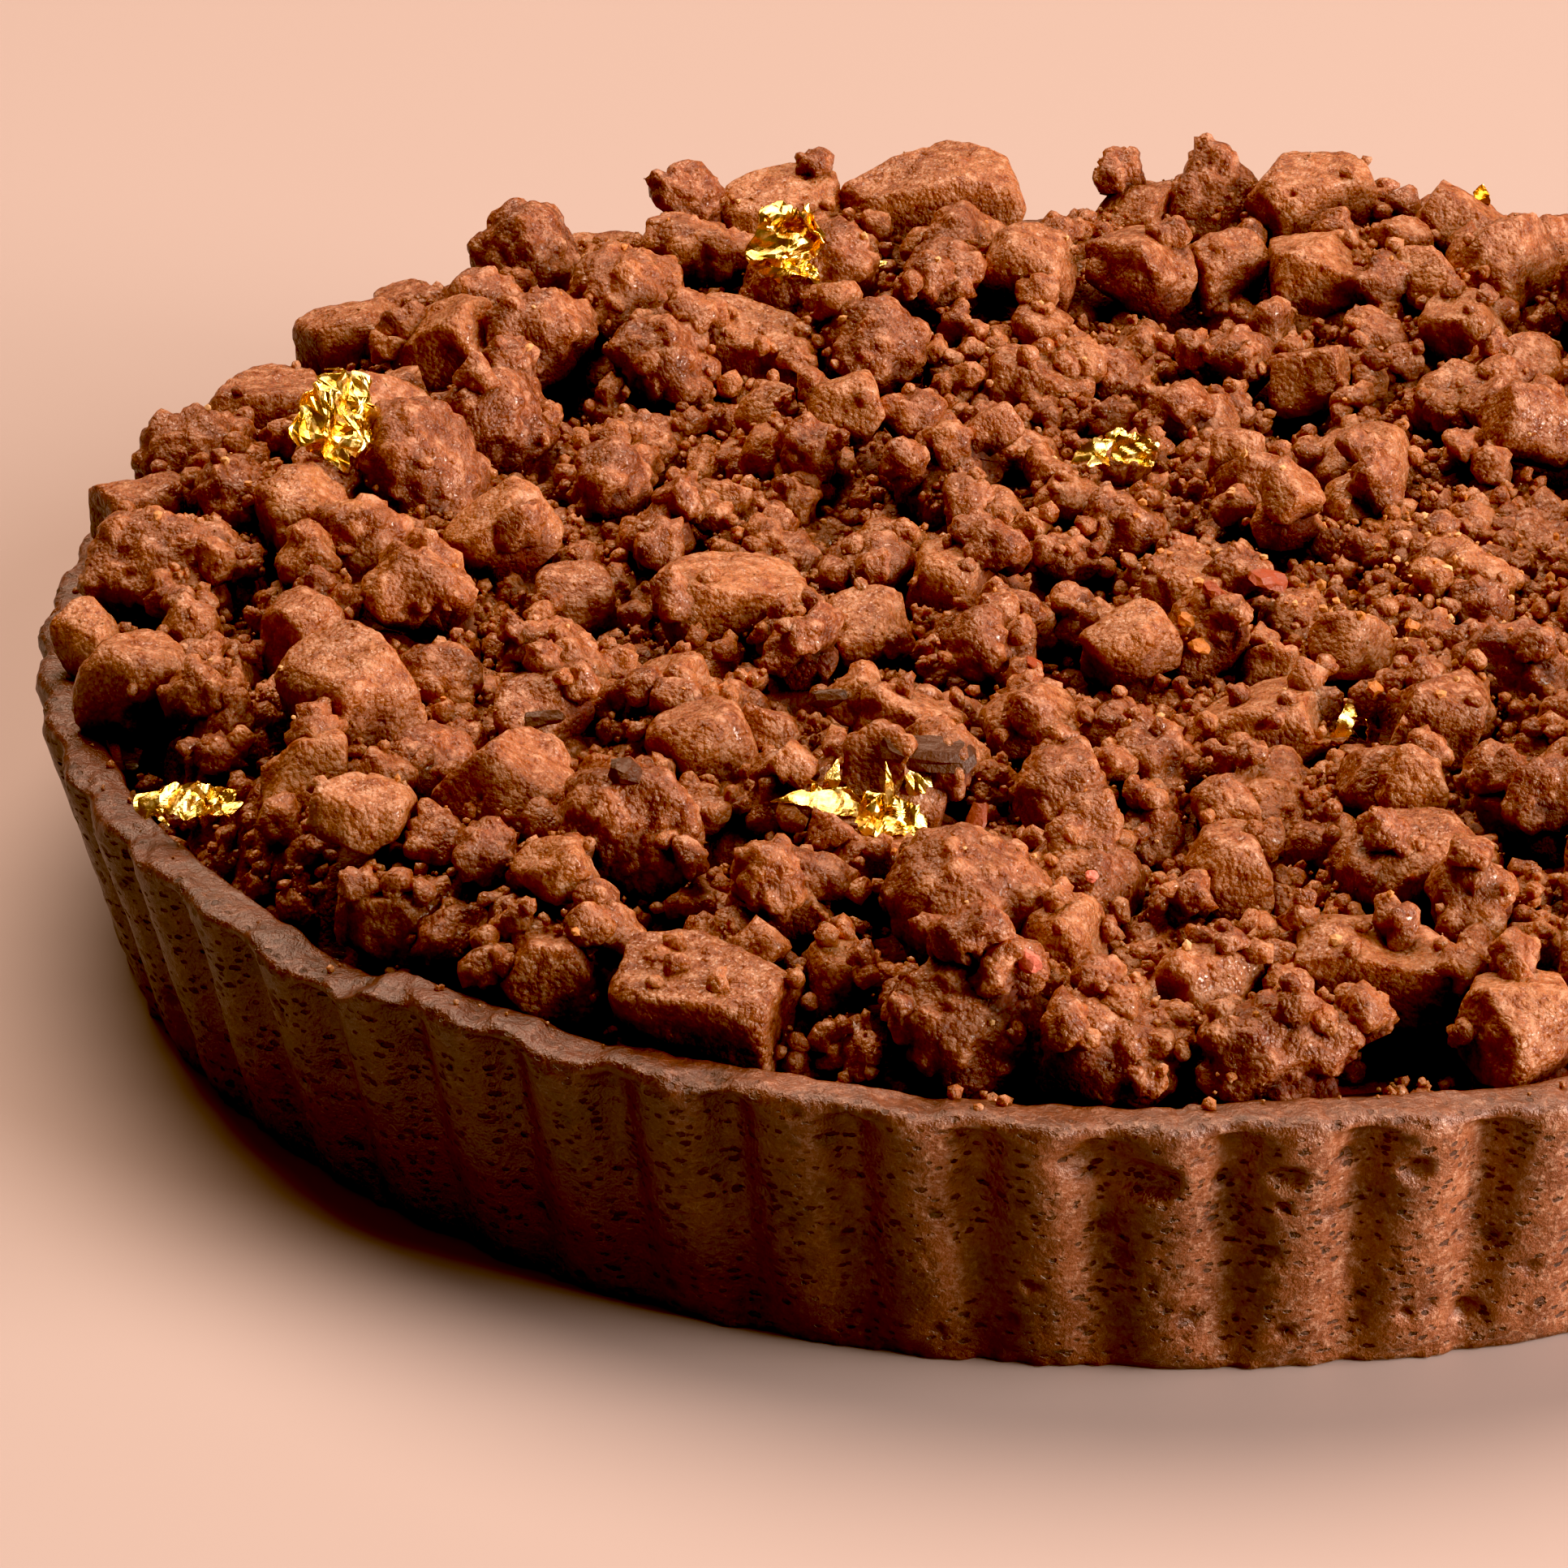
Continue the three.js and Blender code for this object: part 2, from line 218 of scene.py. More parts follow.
class Finish:  # a material and the nodes in it
    def __init__(self, name, fixed):
        self.material = bpy.data.materials.new(name)
        self.material.use_nodes = True
        self.tree = self.material.node_tree
        self.shader = self.tree.nodes["Principled BSDF"]
        self.shader.subsurface_method = "BURLEY"  # the quickest to render
        self.put(fixed)

    def node(self, kind, settings=None, sockets=None, output=0):
        made = self.tree.nodes.new(kind)
        for name, value in (settings or {}).items():
            setattr(made, name, value)
        for name, value in (sockets or {}).items():
            self.plug(made.inputs[name], value)
        return Wire(self, made.outputs[output])

    def plug(self, socket, value):
        if isinstance(value, Wire):
            self.tree.links.new(value.socket, socket)
        else:
            socket.default_value = value

    def put(self, sockets):
        for name, value in sockets.items():
            self.plug(self.shader.inputs[name], value)

    def place(self, squeeze=(1, 1, 1)):
        place = self.node("ShaderNodeTexCoord", output="Object")
        if squeeze == (1, 1, 1):
            return place
        return self.node("ShaderNodeVectorMath", {"operation": "MULTIPLY"}, {0: place, 1: squeeze})

    def attribute(self, name):
        return self.node("ShaderNodeAttribute", {"attribute_name": name}, output="Fac")

    def noise(self, size, detail=3, roughness=0.55):
        # noise from 0 to 1 with lumps of about this many millimetres
        sockets = {"Vector": self.place(), "Scale": 1 / (size * mm)}
        sockets.update({"Detail": detail, "Roughness": roughness})
        return self.node("ShaderNodeTexNoise", sockets=sockets)

    def cells(self, size, squeeze=(1, 1, 1)):
        # distance to the nearest of points this many millimetres apart
        sockets = {"Vector": self.place(squeeze), "Scale": 1 / (size * mm)}
        return self.node("ShaderNodeTexVoronoi", sockets=sockets)

    def between(self, value, low, high):
        # a value squeezed to 0 at low and 1 at high
        sockets = {"Value": value, "From Min": low, "From Max": high}
        return self.node("ShaderNodeMapRange", {"interpolation_type": "SMOOTHSTEP"}, sockets)

    def blend(self, share, first, second, how="MIX"):
        # each colour is a wire, or red, green and blue from 0 to 255
        first, second = (c if isinstance(c, Wire) else toLinear(*c) for c in (first, second))
        settings = {"data_type": "RGBA", "blend_type": how}
        return self.node("ShaderNodeMix", settings, {0: share, 6: first, 7: second}, output=2)

    def darken(self, share, colour, tint):
        return self.blend(share, colour, tint, "MULTIPLY")

    def bump(self, height, depth):
        sockets = {"Height": height, "Distance": depth * mm}
        self.put({"Normal": self.node("ShaderNodeBump", sockets=sockets)})


tart = {
    "rimRadius": 99.2,
    "baseRadius": 93.5,
    "height": 25,
    "inset": 0.2,  # how far the rim stays inside that radius and height
    "wall": 4.2,
    "base": 3.5,
    "rimRounding": 0.9,
    "unevenRim": 0.8,
    "flutes": 62,
    "fluteDepth": 2.7,
    "baseFlutes": 0.35,
    "fluteStart": -75,
    "fillingTop": 20,
}

crustLook = {
    "columnsPerFlute": 21,
    "lip": 0.75,  # how far the flutes fade at the rim
    "lipReach": 0.6,
    "footFade": 0.6,
    "rowHeight": 0.5,
    "topRows": 8,
    "crumbling": 0.35,  # unevenness of the rim
    # angle, reach and depth of each dip in the rim
    "rimDips": [(-136, 4, 1.3), (-121, 2.5, 0.7), (-70, 3, 0.6), (35, 4, 1), (128, 3, 0.8)],
    # spacing of the pores, how many of the places have one, and their depth
    "pores": [(1.9, 0.3, 0.35), (4.2, 0.25, 0.6)],
    # named dents: angle, height, size and depth
    "dents": [
        (-93.2, 19.6, 3, 1.3), (-87.2, 19.7, 1.8, 1), (-81.3, 19.8, 1.7, 0.9), (-87.2, 16.8, 0.8, 0.8),
        (-98.8, 8.6, 0.8, 0.8), (-77.8, 4.2, 1.6, 0.7), (-81, 5, 1, 0.7), (-97, 21.6, 2, 0.6),
    ],
    "looseDents": 14,
    "looseDentLimits": ((-180, 180), (3, 23), (0.7, 2.2), (0.3, 0.7)),
    "paintedShadeSide": (-150, 28, 66),  # painted shade: the side painted darkest, and from where to where round it that fades
    # how much painted shade darkens the rim's top
    "paintedRimShade": 0.7,
    "dark": (116, 58, 30),
    "brown": (162, 97, 64),
    "tan": (232, 184, 156),
    "freckle": (150, 96, 72),
    # the tint of the painted shade on the dark side and on the rim's top
    "baked": (132, 84, 64),
    # painted shade in the dents and in the pores
    "pit": (118, 60, 38),
    "poreShade": (84, 36, 20),
}


def crustFinish():
    finish = Finish("bakedCrust", {
        "Specular IOR Level": 0.9,
        "Subsurface Weight": 0.08,
        "Subsurface Radius": (1.0, 0.4, 0.2),
        "Subsurface Scale": 1.2 * mm,
    })
    pit = finish.attribute("pit")
    wall = finish.attribute("wall")
    patches = finish.noise(4.5, 4)
    freckles = finish.noise(0.7, 4, 0.7)
    # small pores, wider than high, in some places more than in others
    crowded = finish.between(finish.noise(3, 2), 0.34, 0.56)
    edges = finish.noise(0.5) * 0.45
    large = finish.between(finish.cells(2.4, (1, 1, 1.9)) + edges, 0.46, 0.38)
    small = finish.between(finish.cells(1.3, (1, 1, 1.6)) + edges, 0.5, 0.42)
    pores = (large + small * crowded) * wall
    look = crustLook
    colour = finish.blend(finish.between(patches, 0.3, 0.7), look["dark"], look["brown"])
    colour = finish.blend(finish.between(freckles, 0.47, 0.72) * 0.6, colour, look["tan"])
    colour = finish.darken(finish.between(freckles, 0.46, 0.3) * 0.6, colour, look["freckle"])
    # painted shade on the side away from the light and on the rim's top
    colour = finish.darken(finish.attribute("baked") * 0.9, colour, look["baked"])
    # painted shade in the dents and in the pores
    colour = finish.darken(pit * 0.7, colour, look["pit"])
    colour = finish.darken(pores * 0.85, colour, look["poreShade"])
    sand = finish.noise(0.3, 3)
    shine = finish.between(freckles, 0.3, 0.7) * 0.16
    finish.put({"Base Color": colour, "Roughness": pores * 0.4 - shine + 0.48})
    finish.bump(sand * 0.4 + freckles * 0.7 - pores * 0.9, 0.3)
    return finish.material


def fluteOffset(angle):
    phase = (angle - math.radians(tart["fluteStart"])) * tart["flutes"]
    # broad rounded ridges with narrower valleys between them
    return tart["fluteDepth"] * (0.5 * np.cos(phase) - 0.09 * np.cos(2 * phase) + 0.05)


def turnedBy(angle, middle):
    return np.arctan2(np.sin(angle - middle), np.cos(angle - middle))


def rimHeight(angle):
    waves = 0.44 * np.sin(3 * angle + 0.7) + 0.31 * np.sin(8 * angle) + 0.25 * np.sin(17 * angle + 2)
    dip = np.zeros_like(angle)
    for middle, reach, depth in crustLook["rimDips"]:
        away = np.abs(turnedBy(angle, math.radians(middle)))
        dip = np.maximum(dip, depth * (1 - smoothStep(away / math.radians(reach), 0.4, 1)))
    return tart["height"] - tart["inset"] + tart["unevenRim"] * waves - dip


def crustProfile():
    # from the axis along the underside, up the wall, over the rim and back to the axis
    high = tart["height"]
    rounding = tart["rimRounding"]
    outerRim = tart["rimRadius"] - tart["inset"]
    innerRim = tart["rimRadius"] - tart["wall"]
    innerBase = tart["baseRadius"] - tart["wall"] + 0.4
    profile = [(0, 0), (46, 0), (tart["baseRadius"] - 1, 0)]
    rows = int((high - rounding) / crustLook["rowHeight"])
    for i in range(rows + 1):
        share = i / rows
        radius = tart["baseRadius"] + (outerRim - tart["baseRadius"]) * share
        profile.append((radius, share * (high - rounding)))
    for i in range(1, 4):
        turn = math.pi / 2 * i / 3
        inwards, down = 1 - math.cos(turn), 1 - math.sin(turn)
        profile.append((outerRim - rounding * inwards, high - rounding * down))
    edge = outerRim - rounding
    for i in range(1, crustLook["topRows"] + 1):
        share = i / crustLook["topRows"]
        profile.append((edge + (innerRim + 0.3 - edge) * share, high - 0.25 * share * share))
    profile += [(innerRim, high - 0.7), (innerRim, high - 1.4), (innerRim - 0.2, high - 2.4)]
    profile += [(innerRim - 0.8, tart["fillingTop"] + 1), (innerBase, tart["base"])]
    return profile + [(40, tart["base"]), (0, tart["base"])]


def crustHoles(angle, height, crumbs):
    # pores, and the named and loose dents: how deep they are, and how much of a hole each point is in,
    # which the finish darkens as painted shade
    around = np.stack([angle * tart["rimRadius"], height * 1.25, np.zeros_like(angle)], axis=1)
    pit = np.zeros_like(angle)
    depth = np.zeros_like(angle)
    for seed, (size, share, deep) in zip((21, 31), crustLook["pores"]):
        away, owner = cellNoise(around, size, seed, flat=True)
        wide = 0.14 + 0.16 * (owner * 7 % 1)
        hole = (1 - smoothStep(away, wide * 0.45, wide)) * (owner < share)
        depth += hole * deep * (0.5 + 0.5 * (owner * 13 % 1))
        pit = np.maximum(pit, hole)
    draw = np.random.default_rng(5)
    dents = list(crustLook["dents"])
    for _ in range(crustLook["looseDents"]):
        dents.append([draw.uniform(*limits) for limits in crustLook["looseDentLimits"]])
    for turn, level, size, deep in dents:
        across = turnedBy(angle, math.radians(turn)) * tart["rimRadius"]
        away = np.hypot(across, (height - level) * 1.2) / size + 0.25 * crumbs
        depth += deep * (1 - smoothStep(away, 0.35, 1))
        pit = np.maximum(pit, 0.3 * (1 - smoothStep(away, 0.5, 1)))
    return depth, pit


def shapeCrust(place):
    # where each point of the spun profile goes, and what the finish has to know of it
    high = tart["height"]
    innerRim = tart["rimRadius"] - tart["wall"]
    radius = np.hypot(place[:, 0], place[:, 1])
    angle = np.arctan2(place[:, 1], place[:, 0])
    height = place[:, 2]
    wallRadius = tart["baseRadius"] + (tart["rimRadius"] - tart["baseRadius"]) * height / high
    outer = smoothStep(radius - wallRadius, -3.2, -0.9)
    onTop = smoothStep(height, high - 3, high - 0.8)
    # flutes, deeper towards the rim, that end under its lip and fade at the foot
    reach = tart["baseFlutes"] + (1 - tart["baseFlutes"]) * height / high
    reach *= 1 - crustLook["footFade"] * smoothStep(height, 2.5, 0)
    lip = crustLook["lip"] * smoothStep(height, high - 1.9, high - 0.8)
    shift = (fluteOffset(angle) * reach * (1 - lip) + crustLook["lipReach"] * lip) * outer
    # the rim's uneven height, with small broken places
    lift = (rimHeight(angle) - high) * height / high
    crumbs = softNoise(place, 1.6, 11) * 0.6 + softNoise(place, 0.75, 12) * 0.4
    chips = smoothStep(softNoise(place, 3.2, 13), 0.45, 0.8)
    lift += onTop * (crustLook["crumbling"] * (crumbs - 0.6) - 0.5 * chips)
    onWall = outer * smoothStep(height, 0.2, 1.5) * (1 - 0.5 * onTop)
    depth, pit = crustHoles(angle, height, crumbs)
    waves = 0.22 * softNoise(place, 9, 51) + 0.12 * softNoise(place, 3.5, 52)
    waves = waves + 0.06 * softNoise(place, 1.1, 53)
    foot = (1 - smoothStep(height, 0.2, 1.6)) * outer
    ragged = 0.5 * np.maximum(0, softNoise(place, 1.5, 61))
    ragged = ragged + 0.3 * np.maximum(0, softNoise(place, 0.8, 62))
    shift += outer * (waves - 0.1) - onWall * depth - foot * (0.3 - ragged)
    shift += lip * outer * 0.3 * (crumbs - chips)
    inside = (1 - outer) * onTop * smoothStep(radius, innerRim - 2, innerRim)
    shift += inside * (0.3 * softNoise(place, 2.2, 71) + 0.2 * crumbs)
    radius = radius + shift
    moved = np.stack([radius * np.cos(angle), radius * np.sin(angle), height + lift], axis=1)
    moved[:, 2] = np.where(height < 0.01, 0, np.maximum(moved[:, 2], 0))
    # painted shade: darker on the side away from the light, and on the rim's top
    darkest, near, far = (math.radians(turn) for turn in crustLook["paintedShadeSide"])
    fromDark = np.abs(turnedBy(angle, darkest)) + 0.2 * softNoise(place, 14, 91)
    paintedRimShade = crustLook["paintedRimShade"] * smoothStep(height, high - 0.8, high - 0.3)
    baked = np.maximum(smoothStep(fromDark, far, near), paintedRimShade)
    return moved, {"pit": pit * onWall, "wall": onWall, "baked": baked}


def buildCrust():
    profile = crustProfile()
    # the profile is a chain of points that is spun round the axis
    outline = bpy.data.meshes.new("crust")
    links = [(i, i + 1) for i in range(len(profile) - 1)]
    outline.from_pydata([(radius * mm, 0, height * mm) for radius, height in profile], links, [])
    crust = bpy.data.objects.new("tartCrust", outline)
    bpy.context.collection.objects.link(crust)
    makeActive(crust)
    bpy.ops.object.mode_set(mode="EDIT")
    bpy.ops.mesh.select_all(action="SELECT")
    columns = tart["flutes"] * crustLook["columnsPerFlute"]
    bpy.ops.mesh.spin(steps=columns, angle=2 * math.pi, center=(0, 0, 0), axis=(0, 0, 1))
    bpy.ops.mesh.select_all(action="SELECT")
    bpy.ops.mesh.remove_doubles(threshold=0.00001)
    bpy.ops.mesh.normals_make_consistent(inside=False)
    bpy.ops.object.mode_set(mode="OBJECT")
    bpy.ops.object.shade_smooth()
    moved, attributes = shapeCrust(placesOf(crust))
    moveTo(crust, moved)
    for title, values in attributes.items():
        setAttribute(crust.data, title, values)
    settle(crust, crustFinish(), "crust", "crust")


buildCrust()
print("crust done")


fillingLook = {"dark": (30, 14, 14), "light": (48, 24, 24)}


def fillingFinish():
    finish = Finish("darkFilling", {"Specular IOR Level": 0.6, "Coat Weight": 0.6, "Coat Roughness": 0.1})
    ripples = finish.noise(6, 3)
    colour = finish.blend(finish.between(ripples, 0.3, 0.7), fillingLook["dark"], fillingLook["light"])
    finish.put({"Base Color": colour, "Roughness": finish.noise(1.5) * 0.2 + 0.15})
    finish.bump(ripples + finish.noise(1.2) * 0.3, 0.5)
    return finish.material


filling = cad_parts["filling"]
filling.data.materials.clear()
filling.data.materials.append(fillingFinish())
print("filling done")


# the large lumps: the middle, the size and the turn about Z
largeLumps = [
    # along the back
    ((-82, 43, 26.5), (11, 10, 9), 10),
    ((-74, 57, 27), (12, 10, 10), 35),
    ((-68, 64, 28), (9, 8, 9), 0),
    ((-58, 70, 29), (11, 9, 13), 50),
    ((-50, 77, 27.5), (11, 9, 8), 15),
    ((-41, 80, 29.5), (8, 7, 10), 70),
    ((-32, 84, 29.5), (14, 10, 11), 20),
    ((-18, 85, 29.5), (22, 13, 12.5), 5),
    ((-3, 80, 27), (9, 8, 8), 40),
    ((4, 86, 28), (10, 9, 10), 60),
    ((11, 86, 30), (9, 9, 11), 15),
    ((21, 84, 30), (13, 11, 11.5), 30),
    ((29, 86, 27.5), (9, 8, 8), 80),
    ((36, 84, 27.5), (9, 8, 7), 10),
    ((44, 80, 27), (10, 9, 8), 25),
    ((21, 67, 29), (13, 12, 10), 0),
    ((11, 69, 29), (8, 8, 9), 25),
    ((34, 55, 28), (9, 8, 10), 65),
    ((-36, 52, 28), (14, 11, 9), 155),
    ((-8, 44, 27), (10, 8, 9), 10),
    # down the left side
    ((-88, 31, 27), (10, 9, 9), 75),
    ((-92, 17, 27), (10, 9, 9), 30),
    ((-90, 1, 28), (15, 13, 10), 115),
    ((-94, -11, 26.5), (7, 7, 8), 40),
    ((-89, -22, 27), (10, 9, 10), 70),
    ((-80, -31, 26), (8, 8, 10), 20),
    ((-74, -14, 28), (10, 8, 9), 45),
    ((-73, -43, 27), (9, 9, 11), 0),
    ((-63, -42, 28), (9, 8, 8), 60),
    ((-64, -62, 25), (10, 9, 9), 130),
    ((-53, -64, 26), (8, 8, 9), 25),
    # along the front
    ((-39, -80, 26), (16, 12, 10), 160),
    ((-29, -78, 26), (7, 6, 8), 75),
    ((-34, -68, 27), (8, 7, 8), 15),
    ((-27, -61, 28), (10, 8, 7), 35),
    ((-19, -84, 26), (14, 11, 10), 20),
    ((-8, -88, 26), (11, 9, 8), 165),
    ((0, -80, 27), (8, 7, 7), 50),
    ((5, -89, 26), (12, 9, 8), 10),
    ((15, -78, 27), (17, 9, 7), 172),
    ((24, -86, 26), (9, 9, 9), 35),
    ((-9, -64, 28), (10, 9, 8), 60),
    ((3, -63, 28), (8, 7, 8), 5),
    ((17, -62, 28), (11, 9, 8), 25),
    ((28, -53, 28), (8, 8, 9), 50),
    ((7, -48, 27), (10, 9, 7), 80),
    # over the middle
    ((-37, -9, 28), (13, 11, 10), 15),
    ((-18, -4, 28), (8, 8, 8), 65),
    ((-40, -38, 28), (9, 8, 8), 40),
    ((-23, -34, 28), (10, 9, 7), 150),
    ((8, -32, 27), (12, 9, 7), 170),
    ((30, -25, 28), (9, 8, 8), 20),
    ((25, -1, 28), (8, 7, 7), 55),
]

heap = {
    "coreLevel": 27,
    "bankRise": 2.6,  # the heap is banked up along the sides and the back
    "bankReach": 2,
    "bankGap": -75,
    "edge": 85,
    "foot": 94,
    "fillingLumps": [(56, 64, 90, 13, 7.5), (60, 0, 84, 10, 6)],  # count, from, to, widest, narrowest
    "lumpSpacing": 0.41,
    "lumpFill": 0.63,
    "placedTilt": 12,
    "looseTilt": 35,
    "droppedTilt": 40,
    "knobbyLumps": (3, 10, 13, 20, 22, 25, 28, 30, 35, 36, 38, 41, 45, 51),
    "coreSunk": 3.9,  # how much deeper the rough core lies than the solid's
    "coreSteps": 290,
    "coreGranules": ((5.2, 2.6), (2.3, 1.15), (1.35, 0.5)),  # how wide and how high, by kind
    "coreHollows": 3.2,
    "reach": 98.3,
    "rimGap": 0.4,
    "fillingGap": 0.05,
    "topGap": 0.1,
    "bay": (14.7, -85),  # the middle of the place where the filling shows
    "bayWidth": 6.5,
    "flatFlakes": (4, 6, 7, 8, 9),  # the flakes of gold leaf that the lumps stay under
    "flakeRoom": 1.6,
    "flakeSlope": 9,
}


def fromBay(x, y):
    return np.hypot(x - heap["bay"][0], y - heap["bay"][1])


def coreTop(x, y):
    radius = np.hypot(x, y)
    bank = 1 - smoothStep(np.cos(np.arctan2(y, x) - math.radians(heap["bankGap"])), 0.3, 0.8)
    waves = 0.7 * np.sin(x / 13 + 0.6) * np.cos(y / 11) + 0.5 * np.sin((x + y) / 7)
    level = heap["coreLevel"] + waves + bank * heap["bankRise"] * smoothStep(radius, 50, 76)
    slope = smoothStep(radius, heap["edge"] + bank * heap["bankReach"], heap["foot"])
    return level + (tart["fillingTop"] + 0.8 - level) * slope


def seededDraw(seed):
    state = seed
    while True:
        state = (state * 1664525 + 1013904223) & bits
        yield state / (bits + 1)


def placeLumps():
    # the large lumps, then smaller and smaller ones wherever they find room
    tilt = heap["placedTilt"]
    lumps = [(at, size, turn, tilt, 100 + i) for i, (at, size, turn) in enumerate(largeLumps)]
    draw = seededDraw(2024)
    for count, low, high, widest, narrowest in heap["fillingLumps"]:
        for i in range(count):
            width = widest + (narrowest - widest) * i / (count - 1)
            for _ in range(60):
                radius = math.sqrt(low * low + (high * high - low * low) * next(draw))
                around = 2 * math.pi * next(draw)
                x, y = radius * math.cos(around), radius * math.sin(around)
                room = [math.hypot(x - at[0], y - at[1]) / (width + size[0]) for at, size, *_ in lumps]
                if min(room) < heap["lumpSpacing"]:
                    continue
                depth = width * (0.75 + 0.2 * next(draw))
                height = width * (0.7 + 0.2 * next(draw))
                bed = max(float(coreTop(x, y)), tart["height"] - 1)
                z = bed + height * (0.08 + 0.24 * next(draw))
                size = (width, depth, height)
                turn = 360 * next(draw)
                lumps.append(((x, y, z), size, turn, heap["looseTilt"], 500 + len(lumps)))
                break
    return lumps


def ballOf(subdivisions):
    # an icosphere's points and triangles
    deselectAll()
    bpy.ops.mesh.primitive_ico_sphere_add(subdivisions=subdivisions, radius=1)
    ball = bpy.context.object
    directions = unit(placesOf(ball) * mm)
    triangles = np.array([face.vertices for face in ball.data.polygons])
    bpy.data.objects.remove(ball)
    return directions, triangles


def turning(axis, angles):
    # one turning matrix for each angle, about X or Z
    first, second = {"X": (1, 2), "Z": (0, 1)}[axis]
    matrices = np.tile(np.eye(3), (len(angles), 1, 1))
    matrices[:, first, first] = matrices[:, second, second] = np.cos(angles)
    matrices[:, first, second] = -np.sin(angles)
    matrices[:, second, first] = np.sin(angles)
    return matrices


def noiseShift(seed):
    # each lump has its own part of the noise
    return seed * np.array([7.3, 3.1, 5.7]) % 977


def brokenShape(directions, facets, size, bulge, seed):
    # a ball broken off by flat faces, then made a little uneven
    normals, distances, sharpness = facets
    along = np.maximum(directions @ normals.T / distances, 0)
    reach = (1 + (along ** sharpness).sum(axis=1)) ** (-1 / sharpness)
    shape = directions * reach[:, None] * size * heap["lumpFill"]
    away = np.linalg.norm(shape, axis=1)
    place = shape / size[0] + noiseShift(seed)
    uneven = softNoise(place, 0.42, 3) + 0.5 * softNoise(place, 0.2, 6)
    return shape * (1 + bulge * size[0] * uneven / away)[:, None]


def granuleSpots(count, chance):
    # directions spread evenly over a ball, a little out of line
    i = np.arange(count) + 0.5
    z = 1 - 2 * i / count
    goldenAngle = 2.39996
    around = i * goldenAngle + chance.uniform(0, 6.28)
    return unit(onBall(z, around) + chance.normal(0, 0.75 / math.sqrt(count), (count, 3)))


def shapeLump(directions, lump, look):
    # a lump of dough with granules fused on and pits in it: its points, and how deep in a crevice each is,
    # which the finish darkens as painted shade
    at, size, turn, tilt, seed = lump
    size = np.array(size)
    # three draws for each of nine facets, and two for the tilt
    draw = seededDraw(seed)
    drawn = np.array([next(draw) for _ in range(27)]).reshape(9, 3)
    roll, pitch = (tilt * (2 * next(draw) - 1) for _ in range(2))
    normals = onBall(2 * drawn[:, 0] - 1, 2 * np.pi * drawn[:, 1])
    chance = np.random.default_rng(seed)
    isBlock = chance.random() < look["blocks"]
    if 100 <= seed < 100 + len(largeLumps):
        isBlock = seed - 100 not in heap["knobbyLumps"]
    distances = 0.56 + 0.32 * drawn[:, 2]
    if isBlock:
        # broken off squarely on all sides too
        normals = np.concatenate([normals, np.eye(3), -np.eye(3)])
        distances = np.concatenate([distances + 0.05, chance.uniform(0.62, 0.84, 6)])
    facets = normals, distances, 34 if isBlock else 16
    bulge = look["bulge"] * (0.5 if isBlock else 1)
    shape = brokenShape(directions, facets, size, bulge, seed)
    away = np.linalg.norm(shape, axis=1)
    outward = shape / away[:, None]

    # granules: each is a small ball that stands partly out of the lump
    small, large = look["granules"]
    middle = (small + large) / 2
    cover = look["blockCover"] if isBlock else look["cover"]
    count = max(5, int(cover * 4 * np.mean(away) ** 2 / middle ** 2))
    spots = granuleSpots(count, chance)
    if isBlock:
        side = granuleSpots(1, chance)[0]
        spots = spots[spots @ side > chance.uniform(-0.4, 0.4, len(spots))]
    ball = small + (large - small) * chance.random(len(spots)) ** 1.3
    rooted = brokenShape(spots, facets, size, bulge, seed)
    rootedAway = np.linalg.norm(rooted, axis=1)
    depth = ball * chance.uniform(*look["rooted"], len(spots))
    centre = rooted * ((rootedAway - depth) / rootedAway)[:, None]
    sunk = away * (1 if isBlock else look["sunk"])
    # the granules aren't quite round
    place = shape + noiseShift(seed)
    warp = [softNoise(place, 1.3, 41 + i) + 0.5 * softNoise(place, 0.6, 44 + i) for i in range(3)]
    warp = np.stack(warp, axis=1)
    looked = unit(outward + look["warp"] * warp / away[:, None])
    along = looked @ centre.T
    inside = ball ** 2 - (centre ** 2).sum(axis=1) + along ** 2
    reached = np.where((inside > 0) & (along > 0), along + np.sqrt(np.maximum(inside, 0)), 0)
    fusing = 46  # higher is sharper in the creases
    lumpy = (sunk ** fusing + (reached ** fusing).sum(axis=1)) ** (1 / fusing)
    cavity = (1 - smoothStep(lumpy - sunk, 0.05, 0.55)) * (0 if isBlock else 1)

    # chunks fused side by side, a few pits, and a sandy surface
    wide, thick = look["chunks"]
    chunkAway, owner = cellNoise(place + 0.25 * wide * warp, wide, 15)
    chunk = np.sqrt(np.maximum(0, 1 - (chunkAway / 0.9) ** 2))
    lumpy += thick * (0.35 if isBlock else 1) * (chunk * (0.4 + 0.6 * (owner * 7 % 1)) - 0.5)
    cavity = np.maximum(cavity, (0.3 if isBlock else 0.7) * smoothStep(chunk, 0.7, 0.3))
    pit = (1 - smoothStep(chunkAway, 0.08, 0.4)) * (owner < look["pits"])
    lumpy -= look["pitDepth"] * pit
    cavity = np.maximum(cavity, pit)
    lumpy += 0.12 * softNoise(place, 0.8, 4) + 0.07 * softNoise(place, 0.45, 5)

    return (outward * lumpy[:, None]) @ turned(turn, pitch, roll) + np.array(at), cavity


def shapeLumps(ball, lumps, look):
    made = [shapeLump(ball[0], lump, look) for lump in lumps]
    return np.stack([places for places, _ in made]), np.stack([cavity for _, cavity in made])


def domes(place, size, seed):
    # rounded granules of about this size, side by side: from 0 in the creases to 1
    away, owner = cellNoise(place, size, seed, flat=True)
    return np.sqrt(np.maximum(0, 1 - (away / 0.68) ** 2)) * (0.6 + 0.4 * owner)


